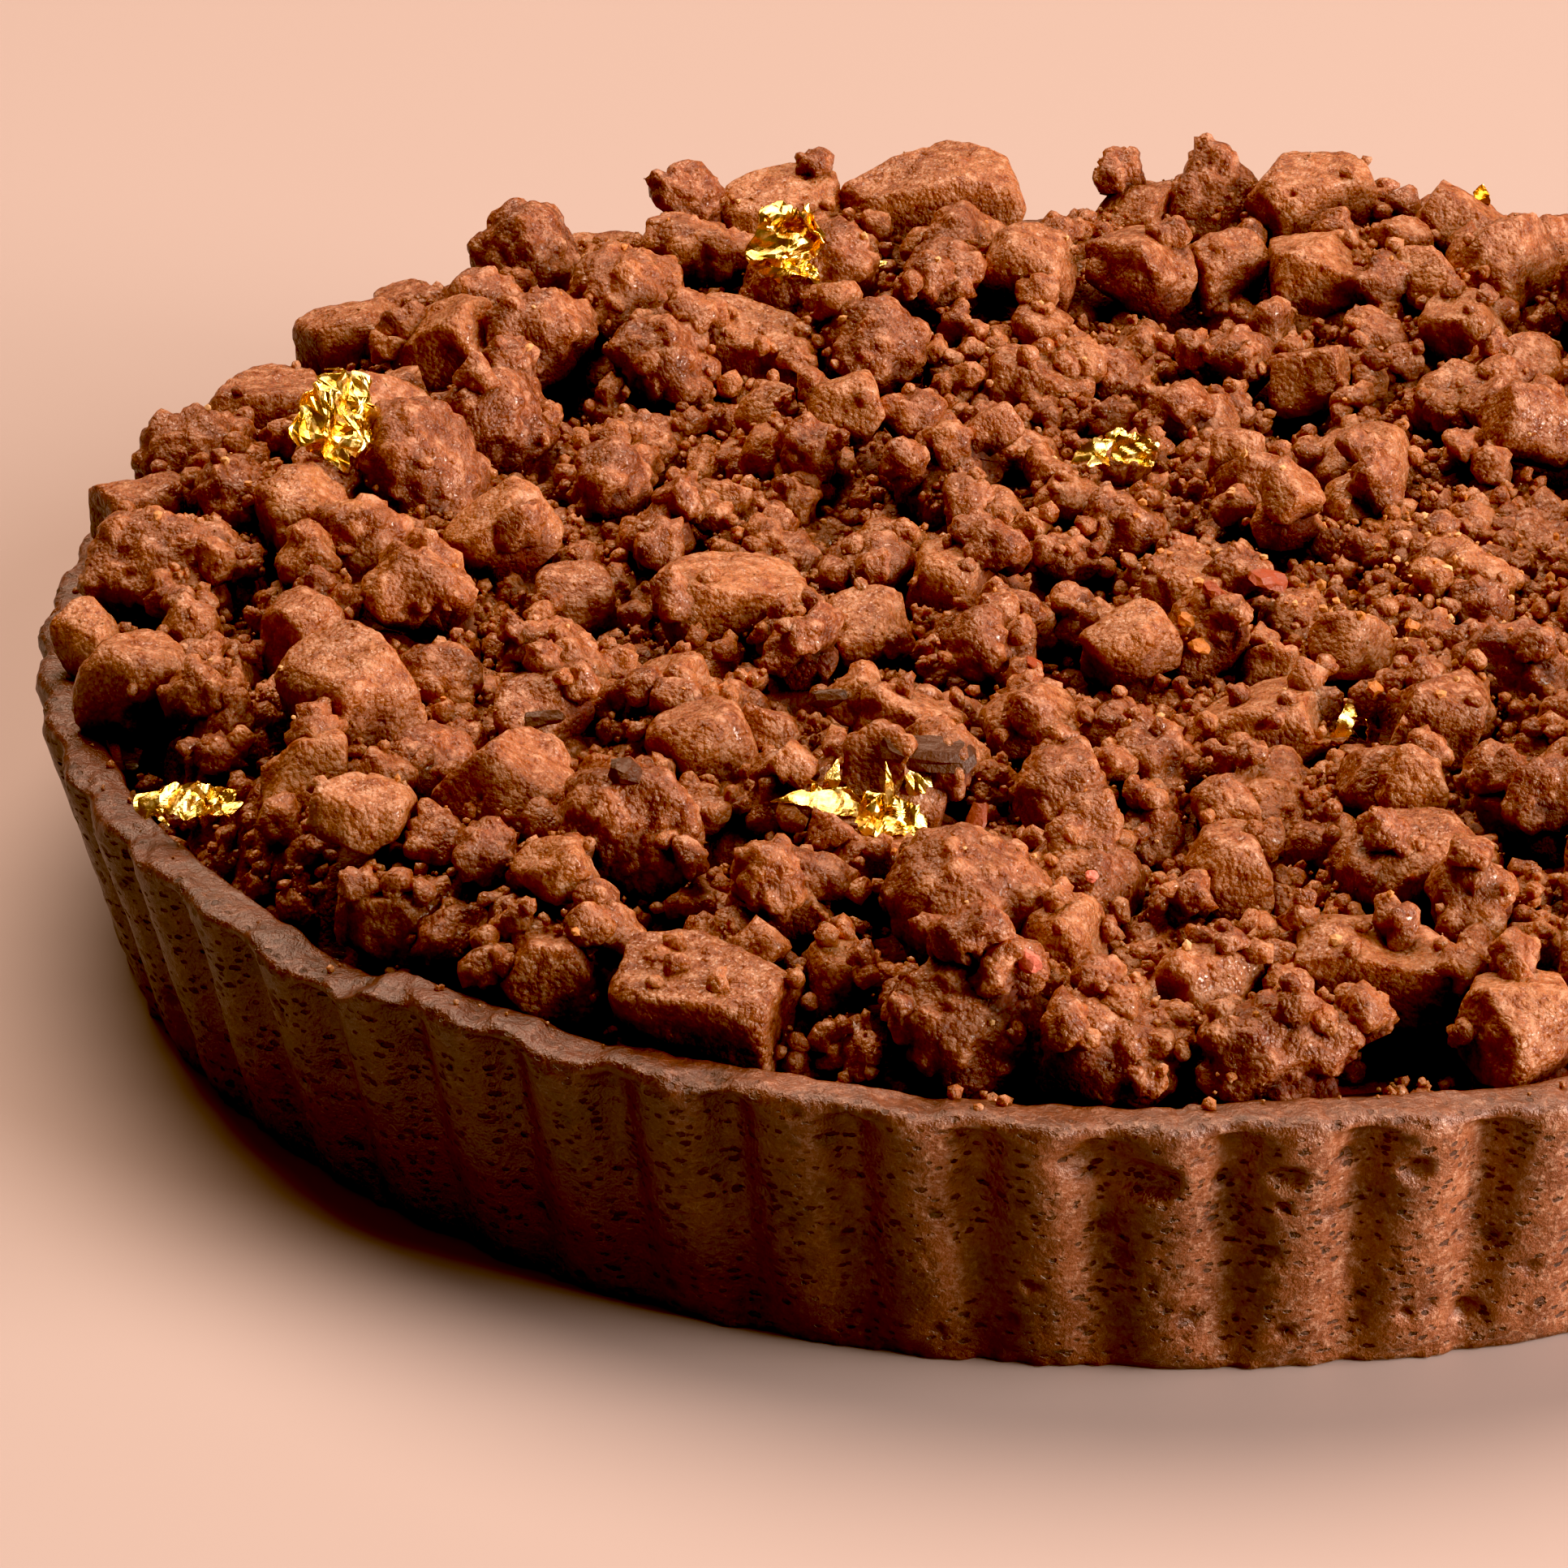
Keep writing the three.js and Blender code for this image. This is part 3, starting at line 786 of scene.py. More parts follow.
def coreSurface(x, y):
    # the rough crumb between the lumps
    place = np.stack([x, y, np.zeros_like(x)], axis=1)
    place[:, :2] += 0.7 * np.stack([softNoise(place, 3, 83), softNoise(place, 3, 84)], axis=1)
    hollows = smoothStep(softNoise(place, 7, 82), 0.05, 0.6)
    wide, high = zip(*heap["coreGranules"])
    clusters, granules, grains = (domes(place, size, seed) for size, seed in zip(wide, (81, 91, 95)))
    rough = high[0] * clusters + high[1] * granules + high[2] * grains
    rough = rough - heap["coreHollows"] * hollows
    radius = np.hypot(x, y)
    level = coreTop(x, y) - heap["coreSunk"] + rough * smoothStep(radius, heap["foot"], heap["foot"] - 4)
    bay = 1 - smoothStep(fromBay(x, y), heap["bayWidth"] * 0.5, heap["bayWidth"])
    level = np.maximum(level * (1 - bay), tart["fillingTop"] - 0.2)
    # the second value is how deep in a crease or hollow each place lies, for the painted shade there
    return level, np.clip(1.15 - 0.55 * clusters - 0.45 * granules + 0.4 * hollows, 0, 1)


class Heights:  # how high the heap stands at each place, so that the next crumb lies on it
    def __init__(self, cell=0.5, half=101):
        self.cell = cell
        self.half = half
        steps = int(2 * half / cell)
        axis = (np.arange(steps) + 0.5) * cell - half
        self.x, self.y = np.meshgrid(axis, axis, indexing="ij")
        radius = np.hypot(self.x, self.y)
        self.top = coreSurface(self.x.ravel(), self.y.ravel())[0].reshape(steps, steps)
        rim = radius > tart["rimRadius"] - tart["wall"]
        self.top[rim] = rimHeight(np.arctan2(self.y, self.x))[rim] - 0.3
        self.top[radius > tart["rimRadius"]] = 0

    def cells(self, x, y):
        last = len(self.top) - 1
        return tuple(np.clip(((value + self.half) / self.cell).astype(int), 0, last) for value in (x, y))

    def at(self, x, y):
        return self.top[int((x + self.half) / self.cell), int((y + self.half) / self.cell)]

    def meet(self, place, slope, before=12, step=0.1):
        # where something that slides down this slope, towards the back, first meets the heap
        x, y, z = place + np.array([0, -before, before * slope])
        while z > self.at(x, y):
            y, z = y + step, z - step * slope
        return np.array([x, y, z])

    def cover(self, shapes):
        places = shapes.reshape(-1, 3)
        np.maximum.at(self.top, self.cells(places[:, 0], places[:, 1]), places[:, 2])

    def coverBall(self, x, y, z, wide, high):
        reach = int(wide / self.cell) + 1
        i, j = int((x + self.half) / self.cell), int((y + self.half) / self.cell)
        window = (slice(i - reach, i + reach + 1), slice(j - reach, j + reach + 1))
        away = ((self.x[window] - x) ** 2 + (self.y[window] - y) ** 2) / (wide * wide)
        cap = z + high * np.sqrt(np.maximum(0, 1 - away))
        self.top[window] = np.where(away < 1, np.maximum(self.top[window], cap), self.top[window])

    def lowest(self, chance, reach, picks):
        # the lowest of a few picked places, with none picked where the filling shows
        best = None
        while best is None or picks > 0:
            picks -= 1
            radius = reach * math.sqrt(chance.random())
            around = 2 * math.pi * chance.random()
            x, y = radius * math.cos(around), radius * math.sin(around)
            if fromBay(x, y) < heap["bayWidth"] / 2:
                continue
            level = self.at(x, y)
            if best is None or level < best[2]:
                best = (x, y, level)
        return best

    def gaps(self, chance, reach, count, away=3.5, lower=0.4):
        # places that lie lower than what is round them, and not where the filling shows
        tries = 6 * count
        radius = reach * np.sqrt(chance.random(tries))
        around = 2 * np.pi * chance.random(tries)
        x, y = radius * np.cos(around), radius * np.sin(around)
        level = self.top[self.cells(x, y)]
        beside = np.zeros(len(x))
        for turn in np.arange(8) * math.pi / 4:
            beside += self.top[self.cells(x + away * math.cos(turn), y + away * math.sin(turn))] / 8
        covered = fromBay(x, y) > heap["bayWidth"] / 2
        chosen = np.nonzero((level < beside - lower) & covered)[0][:count]
        return x[chosen], y[chosen]

    def openness(self, places):
        # the share of the sky's directions that nothing higher hides from each place
        clearCount = np.zeros(len(places))
        tangents = (0.55, 1.7)
        margin = 0.3
        for turn in np.arange(8) * math.pi / 4:
            steepest = np.full(len(places), -9.0)
            for step in (0.9, 1.8, 3.2, 5.2, 8):
                stepX, stepY = step * math.cos(turn), step * math.sin(turn)
                cells = self.cells(places[:, 0] + stepX, places[:, 1] + stepY)
                steepest = np.maximum(steepest, (self.top[cells] - places[:, 2] - margin) / step)
            for tangent in tangents:
                clearCount += steepest < tangent
        return clearCount / (8 * len(tangents))


def keepInside(places):
    # nothing crosses the rim or the filling, and the lumps under a flake of gold leaf stay under it
    radius = np.hypot(places[..., 0], places[..., 1])
    inner = tart["rimRadius"] - tart["wall"] - heap["rimGap"]
    limit = np.where(places[..., 2] < tart["height"] - 0.2, inner, heap["reach"])
    factor = np.minimum(1, limit / np.maximum(radius, 0.001))
    x, y = places[..., 0] * factor, places[..., 1] * factor
    z = np.maximum(places[..., 2], tart["fillingTop"] + heap["fillingGap"])
    z = np.minimum(z, cadBounds[1][2] / mm - heap["topGap"])
    for number in heap["flatFlakes"]:
        low, high = (np.array(corner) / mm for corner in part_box(f"gold_leaf_{number}"))
        middle, half = (low + high) / 2, (high - low) / 2 + heap["flakeRoom"]
        away = np.hypot((x - middle[0]) / half[0], (y - middle[1] + 1) / half[1])
        level = low[2] + 0.25 * (high[2] - low[2]) + heap["flakeSlope"] * np.maximum(0, away - 1)
        z = np.where(away < 2, np.minimum(z, level), z)
    return np.stack([x, y, z], axis=-1)


def surfaceOf(shapes):
    # each point with its way outwards
    outward = unit(shapes - shapes.mean(axis=1)[:, None, :])
    return np.concatenate([shapes, outward], axis=2).reshape(-1, 6)


lumpLooks = {
    # ball: how fine; keep: triangles in thousands; cover: how much of a lump has granules;
    # chunks: how wide and how thick; pits: the share of the chunks that have one
    "bigLumps": {"ball": 6, "keep": 178, "count": 39, "blocks": 0.7, "blockCover": 0.16, "cover": 0.95,
                 "granules": (0.8, 2.3), "rooted": (0.6, 0.95), "sunk": 0.97, "bulge": 0.07, "warp": 0.5,
                 "chunks": (1.5, 0.5), "pits": 0.05, "pitDepth": 0.6},
    "middleLumps": {"ball": 5, "keep": 170, "blocks": 0.55, "blockCover": 0.16, "cover": 0.95,
                    "granules": (0.7, 1.8), "rooted": (0.55, 0.95), "sunk": 0.96, "bulge": 0.09,
                    "warp": 0.5, "chunks": (1.4, 0.45), "pits": 0.04, "pitDepth": 0.5},
    "smallLumps": {"ball": 4, "keep": 150, "count": 440, "widest": 6.8, "narrowest": 3.4, "reach": 91,
                   "picks": 2, "blocks": 0.35, "blockCover": 0.25, "cover": 0.85, "granules": (0.45, 1.05),
                   "rooted": (0.35, 0.85), "sunk": 0.93, "bulge": 0.14, "warp": 0.4,
                   "chunks": (1.25, 0.4), "pits": 0, "pitDepth": 0},
    "clusters": {"ball": 3, "keep": 160, "count": 680, "widest": 4.4, "narrowest": 2.2, "reach": 93,
                 "picks": 3, "blocks": 0.2, "blockCover": 0.4, "cover": 0.9, "granules": (0.45, 0.85),
                 "rooted": (0.3, 0.8), "sunk": 0.88, "bulge": 0.16, "warp": 0.35,
                 "chunks": (1.05, 0.3), "pits": 0, "pitDepth": 0},
    "crumbs": {"ball": 2, "keep": 132, "count": 1900, "widest": 2.6, "narrowest": 1.1, "reach": 94,
               "picks": 3, "blocks": 0.8, "blockCover": 0.4, "cover": 0.5, "granules": (0.4, 0.6),
               "rooted": (0.2, 0.6), "sunk": 0.85, "bulge": 0.16, "warp": 0.1,
               "chunks": (0.9, 0.15), "pits": 0, "pitDepth": 0},
}
heights = Heights()
lumps = sorted(placeLumps(), key=lambda lump: 0.02 * lump[0][1] - lump[1][0])
kinds = []  # of each kind its name, points, triangles, tones and cavities


def addLumps(name, some):
    look = lumpLooks[name]
    directions, triangles = ballOf(look["ball"])
    shapes, cavities = shapeLumps((directions, triangles), some, look)
    shapes = keepInside(shapes)
    heights.cover(shapes)
    tones = np.random.default_rng(len(some)).uniform(0, 1, len(some))
    kinds.append((name, shapes, triangles, tones, cavities))
    print(name, "done:", len(some))


def dropLumps(name, seed):
    # single lumps, each at the lowest of a few picked places
    look = lumpLooks[name]
    chance = np.random.default_rng(seed)
    dropped = []
    for i in range(look["count"]):
        width = look["narrowest"] + (look["widest"] - look["narrowest"]) * chance.random() ** 1.5
        x, y, level = heights.lowest(chance, look["reach"], look["picks"])
        size = (width, width * chance.uniform(0.7, 1), width * chance.uniform(0.65, 0.95))
        z = level + size[2] * chance.uniform(0.05, 0.3)
        heights.coverBall(x, y, z, width * 0.5, size[2] * 0.5)
        turn = 360 * chance.random()
        dropped.append(((x, y, z), size, turn, heap["droppedTilt"], 3000 + seed * 5000 + i))
    return dropped


bigCount = lumpLooks["bigLumps"]["count"]
addLumps("bigLumps", lumps[:bigCount])
addLumps("middleLumps", lumps[bigCount:])
for seed, name in enumerate(("smallLumps", "clusters", "crumbs"), 1):
    addLumps(name, dropLumps(name, seed))


grainLooks = {
    # ball, how many on the lumps and between them, widest, narrowest
    "granules": {"ball": 1, "onLumps": 0, "between": 3900, "widest": 1.7, "narrowest": 0.7},
    "grains": {"ball": 0, "onLumps": 1500, "between": 8000, "widest": 0.6, "narrowest": 0.25},
}


def octahedron():
    corners = np.concatenate([np.eye(3), -np.eye(3)])
    faces = ((0, 1, 2), (3, 2, 1), (3, 1, 5), (0, 5, 1), (0, 2, 4), (3, 4, 2), (0, 4, 5), (3, 5, 4))
    return corners, np.array(faces)


def buildGrains(name, look, seed):
    chance = np.random.default_rng(seed)
    directions, triangles = ballOf(look["ball"]) if look["ball"] else octahedron()
    spots = np.concatenate([surfaceOf(kind[1]) for kind in kinds])
    lowest, steepest = 23.5, -0.15
    spots = spots[(spots[:, 5] > steepest) & (spots[:, 2] > lowest)]
    chosen = spots[chance.integers(0, len(spots), look["onLumps"])]
    span = look["widest"] - look["narrowest"]
    onSizes = look["narrowest"] + span * chance.random(len(chosen)) ** 2.4
    onPlaces = chosen[:, :3] + chosen[:, 3:] * onSizes[:, None] * 0.1
    x, y = heights.gaps(chance, heap["foot"], look["between"])
    inSizes = look["narrowest"] + span * chance.random(len(x)) ** 1.5
    inPlaces = np.stack([x, y, heights.top[heights.cells(x, y)] + 0.3 * inSizes], axis=1)
    places = np.concatenate([onPlaces, inPlaces])
    sizes = np.concatenate([onSizes, inSizes])
    count = len(places)
    rough = chance.uniform(0.65, 1.15, (count, len(directions), 1))
    stretch = chance.uniform(0.65, 1.25, (count, 1, 3))
    shapes = directions[None] * rough * stretch * sizes[:, None, None] * 0.5
    for axis in "ZX":
        shapes = shapes @ turning(axis, chance.uniform(0, 6.28, count))
    tones = chance.uniform(0.1, 1.2, count)
    return name, shapes + places[:, None, :], triangles, tones, np.zeros(shapes.shape[:2])


kinds += [buildGrains(name, look, seed) for seed, (name, look) in enumerate(grainLooks.items(), 9)]
print("grains done")


def thin(piece, thousands):
    # fewer triangles, above all where nobody can see them
    triangles = len(piece.data.polygons)
    if triangles <= thousands * 1000:
        return
    hidden = piece.vertex_groups.new(name="hidden")
    shade = np.empty(len(piece.data.vertices), dtype=np.float32)
    piece.data.attributes["deep"].data.foreach_get("value", shade)
    for low, high, weight in ((0.999, 2, 1.0), (0.85, 0.999, 0.25), (-1, 0.85, 0.1)):
        chosen = np.nonzero((shade >= low) & (shade < high))[0]
        hidden.add(chosen.tolist(), weight, "REPLACE")
    fewer = piece.modifiers.new("fewer", "DECIMATE")
    fewer.ratio = thousands * 1000 / triangles
    fewer.vertex_group = hidden.name
    makeActive(piece)
    bpy.ops.object.modifier_apply(modifier="fewer")
    piece.vertex_groups.clear()
    piece.data.update()


def joinKind(name, shapes, triangles, tones, cavities):
    # many forms with the same triangles become one mesh
    places = shapes.reshape(-1, 3)
    attributes = {"tone": np.repeat(tones, shapes.shape[1]), "cavity": cavities.ravel()}
    # how hidden each point is among the lumps: the finish paints it as shade, and thinning takes most from
    # there
    attributes["deep"] = 1 - heights.openness(places)
    piece = meshPiece(name, places, repeated(triangles, shapes), attributes)
    if name in lumpLooks:
        thin(piece, lumpLooks[name]["keep"])
    print(name, "joined:", len(piece.data.polygons), "triangles")
    return piece


crumblePieces = [joinKind(*kind) for kind in kinds]


def buildCore():
    # the rough heap under the lumps
    deselectAll()
    steps, wide = heap["coreSteps"], 2 * heap["foot"] * mm
    bpy.ops.mesh.primitive_grid_add(x_subdivisions=steps, y_subdivisions=steps, size=wide)
    core = bpy.context.object
    core.name = "crumbleCore"
    place = placesOf(core)
    # the square grid is pressed into a round one
    flat = np.maximum(np.abs(place[:, 0]), np.abs(place[:, 1]))
    factor = flat / np.maximum(np.hypot(place[:, 0], place[:, 1]), 0.001)
    place[:, 0] *= factor
    place[:, 1] *= factor
    place[:, 2], cavity = coreSurface(place[:, 0], place[:, 1])
    moveTo(core, place)
    setAttribute(core.data, "cavity", cavity)
    # how hidden each place is among the lumps, which the finish paints as shade
    setAttribute(core.data, "deep", 1 - heights.openness(place))
    setAttribute(core.data, "tone", 0.5 + 0.5 * softNoise(place, 4, 85))
    makeActive(core)
    bpy.ops.object.mode_set(mode="EDIT")
    # a low wall and an underside close it
    bpy.ops.mesh.select_all(action="DESELECT")
    bpy.ops.mesh.select_non_manifold()
    bpy.ops.mesh.extrude_edges_move(TRANSFORM_OT_translate={"value": (0, 0, -0.3 * mm)})
    bpy.ops.mesh.edge_face_add()
    bpy.ops.mesh.select_all(action="SELECT")
    bpy.ops.mesh.normals_make_consistent(inside=False)
    bpy.ops.object.mode_set(mode="OBJECT")
    bpy.ops.object.shade_smooth()
    return core


crumbleLook = {
    "pale": (172, 110, 70),
    "deep": (136, 73, 43),
    "sugar": (207, 157, 128),
    "blotch": (180, 108, 64),
    "sand": (168, 112, 76),
    # painted shade in the creases between granules and chunks, and in the hollows
    "creviceShade": (150, 82, 50),
    # painted shade deep among the lumps
    "shade": (136, 58, 26),
}


def crumbleFinish():
    finish = Finish("bakedCrumble", {
        "Specular IOR Level": 0.55,
        "Subsurface Weight": 0.55,
        "Subsurface Radius": (1.0, 0.36, 0.13),
        "Subsurface Scale": 1.3 * mm,
        "Coat Roughness": 0.16,
    })
    look = crumbleLook
    tone = finish.attribute("tone")
    cavity = finish.attribute("cavity")
    # how hidden each point is among the lumps, for the painted shade below
    deep = finish.between(finish.attribute("deep"), 0.35, 1)
    patches = finish.noise(3.5)
    blotches = finish.noise(1.3, 3, 0.7)
    sand = finish.noise(0.3, 2, 0.7)
    speckle = finish.noise(0.55, 3)
    grains = finish.cells(0.42)
    crystals = finish.between(grains, 0.24, 0.12)
    shade = finish.between(tone * 0.35 + patches * 0.7, 0.2, 0.85)
    colour = finish.blend(shade, look["deep"], look["pale"])
    colour = finish.blend(finish.between(blotches, 0.5, 0.64) * 0.6, colour, look["sugar"])
    colour = finish.darken(finish.between(blotches, 0.48, 0.36) * 0.65, colour, look["blotch"])
    colour = finish.darken(finish.between(sand, 0.5, 0.34) * 0.3, colour, look["sand"])
    colour = finish.blend(crystals * 0.4, colour, look["sugar"])
    # painted shade in the creases and hollows
    colour = finish.darken(cavity * 0.5, colour, look["creviceShade"])
    # painted shade deep among the lumps
    colour = finish.darken(deep, colour, look["shade"])
    shine = finish.between(speckle, 0.38, 0.62) * 0.25 + 0.34
    moist = finish.between(finish.noise(0.4), 0.58, 0.66) + crystals * 0.7
    finish.put({"Base Color": colour, "Roughness": deep * 0.3 + shine})
    finish.put({"Coat Weight": moist * (1 - deep) * 0.8})
    finish.bump(sand * 0.3 + speckle * 1.1 - grains * grains * 0.5, 0.32)
    return finish.material


crumblePieces.append(buildCore())
bakedCrumble = crumbleFinish()
for piece in crumblePieces:
    settle(piece, bakedCrumble, "crumble", "crumble")
print("crumble done")


nibLook = {
    # place, length, width, thickness, turn, tilt and which colour: 0 dark, 1 reddish, 2 amber, 4 pink
    "nibs": [
        ((-21.2, -46.4, 31.6), 7.8, 3.2, 1, 4, 6, 0), ((-29.3, -34.1, 31.2), 3.6, 1.5, 0.8, -4, -8, 0),
        ((-53.8, -36.7, 30.8), 4.4, 1.5, 1, 4, -8, 0), ((-45.9, -48.4, 31.2), 2.6, 2.4, 1.6, 30, 15, 0),
        ((9.7, -9.3, 30.6), 3.4, 2.0, 0.9, 15, 20, 1), ((4.5, -12.1, 30.4), 2.4, 1.4, 0.8, -30, 30, 1),
        ((-14.5, -78.6, 29), 2.7, 1.6, 1, -50, 20, 4), ((-8.7, -68.4, 31), 1.1, 1, 0.7, 10, 20, 4),
        ((-11.5, -27, 31.0), 3.0, 1.3, 0.8, 60, 30, 1),
        ((3.1, -22.5, 30.2), 1.9, 1.5, 1.1, 20, 10, 2), ((17.1, -31.4, 30.0), 1.8, 1.4, 1.1, 70, 15, 2),
        ((2.0, -17.5, 30.4), 1.5, 1.3, 1.0, 10, 25, 2), ((22.0, -19.0, 30.3), 1.5, 1.1, 0.9, 0, 35, 2),
        ((-17.3, -58.4, 31), 1.8, 3.4, 1, -14, 8, 1),
    ],
    "roll": 38,
    "slope": 0.477,  # of the way along which each of them is laid on the heap
    "sugar": 420,
    "sugarReach": 92,
    "sugarWidth": (0.45, 0.85),  # the smallest, and how much wider the largest is
    "bayPaintedGlint": 16,  # pale crystals on the filling where it shows, as a painted glint
    "sugarPatch": (22, -4, 26),  # where half of the sugar lies: its middle and how far it reaches
    "dark": (72, 36, 22),
    "red": (146, 68, 46),
    "amber": (196, 122, 66),
    "crystal": (226, 178, 128),
    "pink": (214, 118, 102),
}


def joinToned(name, forms, triangles, tones):
    stack = np.stack(forms)
    attributes = {"tone": np.repeat(np.array(tones, dtype=float), stack.shape[1])}
    return meshPiece(name, stack.reshape(-1, 3), repeated(triangles, stack), attributes, smooth=False)


def buildNibs(chance):
    directions, triangles = ballOf(2)
    shapes = []
    tones = []
    for at, length, width, thick, turn, tilt, tone in nibLook["nibs"]:
        rough = 1 + 0.25 * chance.uniform(-1, 1, (len(directions), 1))
        shape = np.sign(directions) * np.abs(directions) ** 0.8 * rough
        shape = shape * np.array([length, width, thick]) / 2
        middle = heights.meet(np.array(at), nibLook["slope"]) + np.array([0, -0.15, 0.15]) * thick
        shapes.append(shape @ turned(turn, tilt, nibLook["roll"]) + middle)
        tones.append(tone)
    return joinToned("cocoaNibs", shapes, triangles, tones)


def buildSugarAndGlint(chance):
    directions, triangles = ballOf(1)
    crystals = []
    tones = []
    patchX, patchY, patchReach = nibLook["sugarPatch"]
    smallest, wider = nibLook["sugarWidth"]
    for i in range(nibLook["sugar"]):
        reach = patchReach if i % 2 else nibLook["sugarReach"]
        radius, around = reach * math.sqrt(chance.random()), chance.uniform(0, 2 * math.pi)
        x, y = radius * math.cos(around), radius * math.sin(around)
        if i % 2:
            x, y = x + patchX, y + patchY
        wide = smallest + wider * chance.random() ** 2
        rough = chance.uniform(0.6, 1.1, (len(directions), 1))
        middle = np.array([x, y, heights.at(x, y) + 0.2 * wide])
        crystals.append(directions * rough * chance.uniform(0.6, 1.1, 3) * wide / 2 + middle)
        tones.append(2 + chance.random())
    # pale crystals painted as a glint on the filling where it shows
    bayX, bayY = heap["bay"]
    for _ in range(nibLook["bayPaintedGlint"]):
        x, y = bayX + chance.normal(0, 0.5), bayY + 0.4 + chance.normal(0, 0.6)
        middle = np.array([x, y, tart["fillingTop"] + 0.25])
        crystals.append(directions * chance.uniform(0.12, 0.28, (len(directions), 1)) + middle)
        tones.append(3.0)
    return joinToned("sugar", crystals, triangles, tones)


def nibFinish():
    fixed = {"Specular IOR Level": 0.4, "Subsurface Weight": 0.1, "Subsurface Scale": 0.8 * mm}
    finish = Finish("cocoaNibs", fixed)
    tone = finish.attribute("tone")
    colour = nibLook["dark"]
    for step, name in enumerate(("red", "amber", "crystal", "pink")):
        colour = finish.blend(finish.between(tone, step, step + 1), colour, nibLook[name])
    finish.put({"Base Color": colour, "Roughness": finish.noise(0.5) * 0.3 + 0.3})
    finish.bump(finish.noise(0.4), 0.12)
    return finish.material


cocoaNibs = nibFinish()
nibChance = np.random.default_rng(31)
for piece in (buildNibs(nibChance), buildSugarAndGlint(nibChance)):
    settle(piece, cocoaNibs, "crumble", "crumble")
print("nibs and sugar done")


rimCrumbLook = {
    # the place and width of each named crumb
    "named": [(-20.4, -93.2, 1.6), (-16.7, -94.4, 1.3), (-18.6, -95.6, 1.1), (-1.0, -96.0, 1.4)],
    "loose": 70,
    "between": (95.6, 97.6),  # from where to where on the rim they lie
    "width": (0.35, 0.7),  # the smallest, and how much wider the largest is
}


def buildRimCrumbs():
    # a few crumbs that fell on the rim
    directions, triangles = ballOf(1)
    chance = np.random.default_rng(41)
    crumbs = list(rimCrumbLook["named"])
    smallest, wider = rimCrumbLook["width"]
    for _ in range(rimCrumbLook["loose"]):
        around = chance.uniform(0, 2 * math.pi)
        radius = chance.uniform(*rimCrumbLook["between"])
        wide = smallest + wider * chance.random() ** 3
        crumbs.append((radius * math.cos(around), radius * math.sin(around), wide))
    forms = []
    for x, y, wide in crumbs:
        z = float(rimHeight(np.array([math.atan2(y, x)]))[0]) + 0.1 * wide - 0.15
        rough = chance.uniform(0.7, 1.1, (len(directions), 1))
        forms.append(directions * rough * wide / 2 + np.array([x, y, z]))
    stack = np.stack(forms)
    tones = np.repeat(chance.uniform(0.3, 1, len(forms)), stack.shape[1])
    attributes = {"tone": tones, "cavity": 0 * tones, "deep": 0 * tones}
    return meshPiece("rimCrumbs", stack.reshape(-1, 3), repeated(triangles, stack), attributes)


settle(buildRimCrumbs(), bakedCrumble, "crumble", "crumble")
print("rim crumbs done")


# each flake's shreds: the middle from the flake's own, the length, width, turn, roll and pitch in
# degrees, how crumpled it is, and how pointed
goldFlakes = [
    [((0, 0, 0.8), 9.5, 7.5, 62, 58, -26, 1, 0.3), ((0.6, 0.4, -1.6), 8, 5, 20, 70, 12, 1, 0.3),
     ((-2.6, -0.6, -1.2), 3, 2.4, 80, 40, 10, 0.8, 0.6)],
    [((-0.8, 0, 0.6), 7, 6.5, 10, 66, 20, 1, 0.3), ((1.2, 0.2, 1.4), 6, 3, 70, 40, 58, 0.6, 0.5),
     ((-0.6, -0.8, -2), 6, 2.6, 12, 40, 10, 1, 0.5)],
    [((-0.6, 0, 0.6), 3.4, 1.1, 10, 60, 20, 1, 0.8), ((1.1, 0, 0.2), 3.2, 1.3, -20, 50, -25, 1, 0.8)],
    [((-2, -0.4, 0.5), 4.6, 2, 28, 42, -16, 0.25, 0.8), ((-1.4, -1.5, 0.1), 4.4, 1.7, 62, 36, 8, 0.25, 0.8),
     ((0.4, 1.4, 1), 2.6, 1.7, 10, 66, 10, 0.4, 0.7), ((1.8, 0, 0.1), 4.2, 3, -12, 36, 8, 1, 0.4)],
    [((0.8, 0, 0.6), 5, 2, 96, 30, 66, 0.25, 0.8), ((-1.6, 0, -0.2), 3.6, 2.8, 20, 58, -20, 1, 0.5)],
    [((0, 0.2, 0.2), 8.6, 3.4, 10, 32, 4, 0.7, 0.4), ((1.6, 0.6, 0.7), 4.6, 2, 8, 52, 6, 1, 0.4),
     ((-2.4, -0.8, -0.5), 2.6, 0.8, -50, 30, 24, 0.5, 0.8),
     ((1.2, -1.2, -0.8), 2.4, 0.7, 74, 30, 44, 0.5, 0.8), ((3, -0.8, -0.6), 3, 0.6, 58, 30, 34, 0.4, 0.8)],
    [((0.2, -0.2, 0.1), 9.4, 2.3, -9, 22, 8, 0.18, 0.9), ((0.6, 1.4, 1.5), 3.6, 1.2, 50, 40, -62, 0.7, 0.8),
     ((-0.8, 1.4, 0.7), 2.4, 1.3, 120, 50, -30, 0.8, 0.7), ((1.8, 0.8, 0.4), 2.6, 1, -30, 50, 10, 1, 0.7)],
    [((0.3, -0.4, -0.3), 6.4, 3.8, -16, 34, 10, 1, 0.4), ((0.2, 0.6, 1.8), 4.6, 0.9, 84, 40, -72, 0.3, 0.9),
     ((-1, 0.4, 0.5), 2.6, 1, 30, 60, -30, 0.4, 0.8), ((2.6, 4.6, 0.6), 2.4, 2, 60, 50, -40, 0.8, 0.5)],
    [((-0.8, 0, 0.2), 3.9, 1.5, 50, 46, -48, 0.1, 0.4), ((0.8, 0, 0.1), 2.9, 1.2, 118, 50, -44, 1, 0.4)],
]
goldLook = {
    "columns": 26,
    "rows": 18,
    "thickness": 0.06,
    "folds": [(3.4, 0.5), (2.1, 0.26), (1.1, 0.1)],  # spacing and depth
    "deep": (242, 188, 88),
    "bright": (252, 220, 144),
}


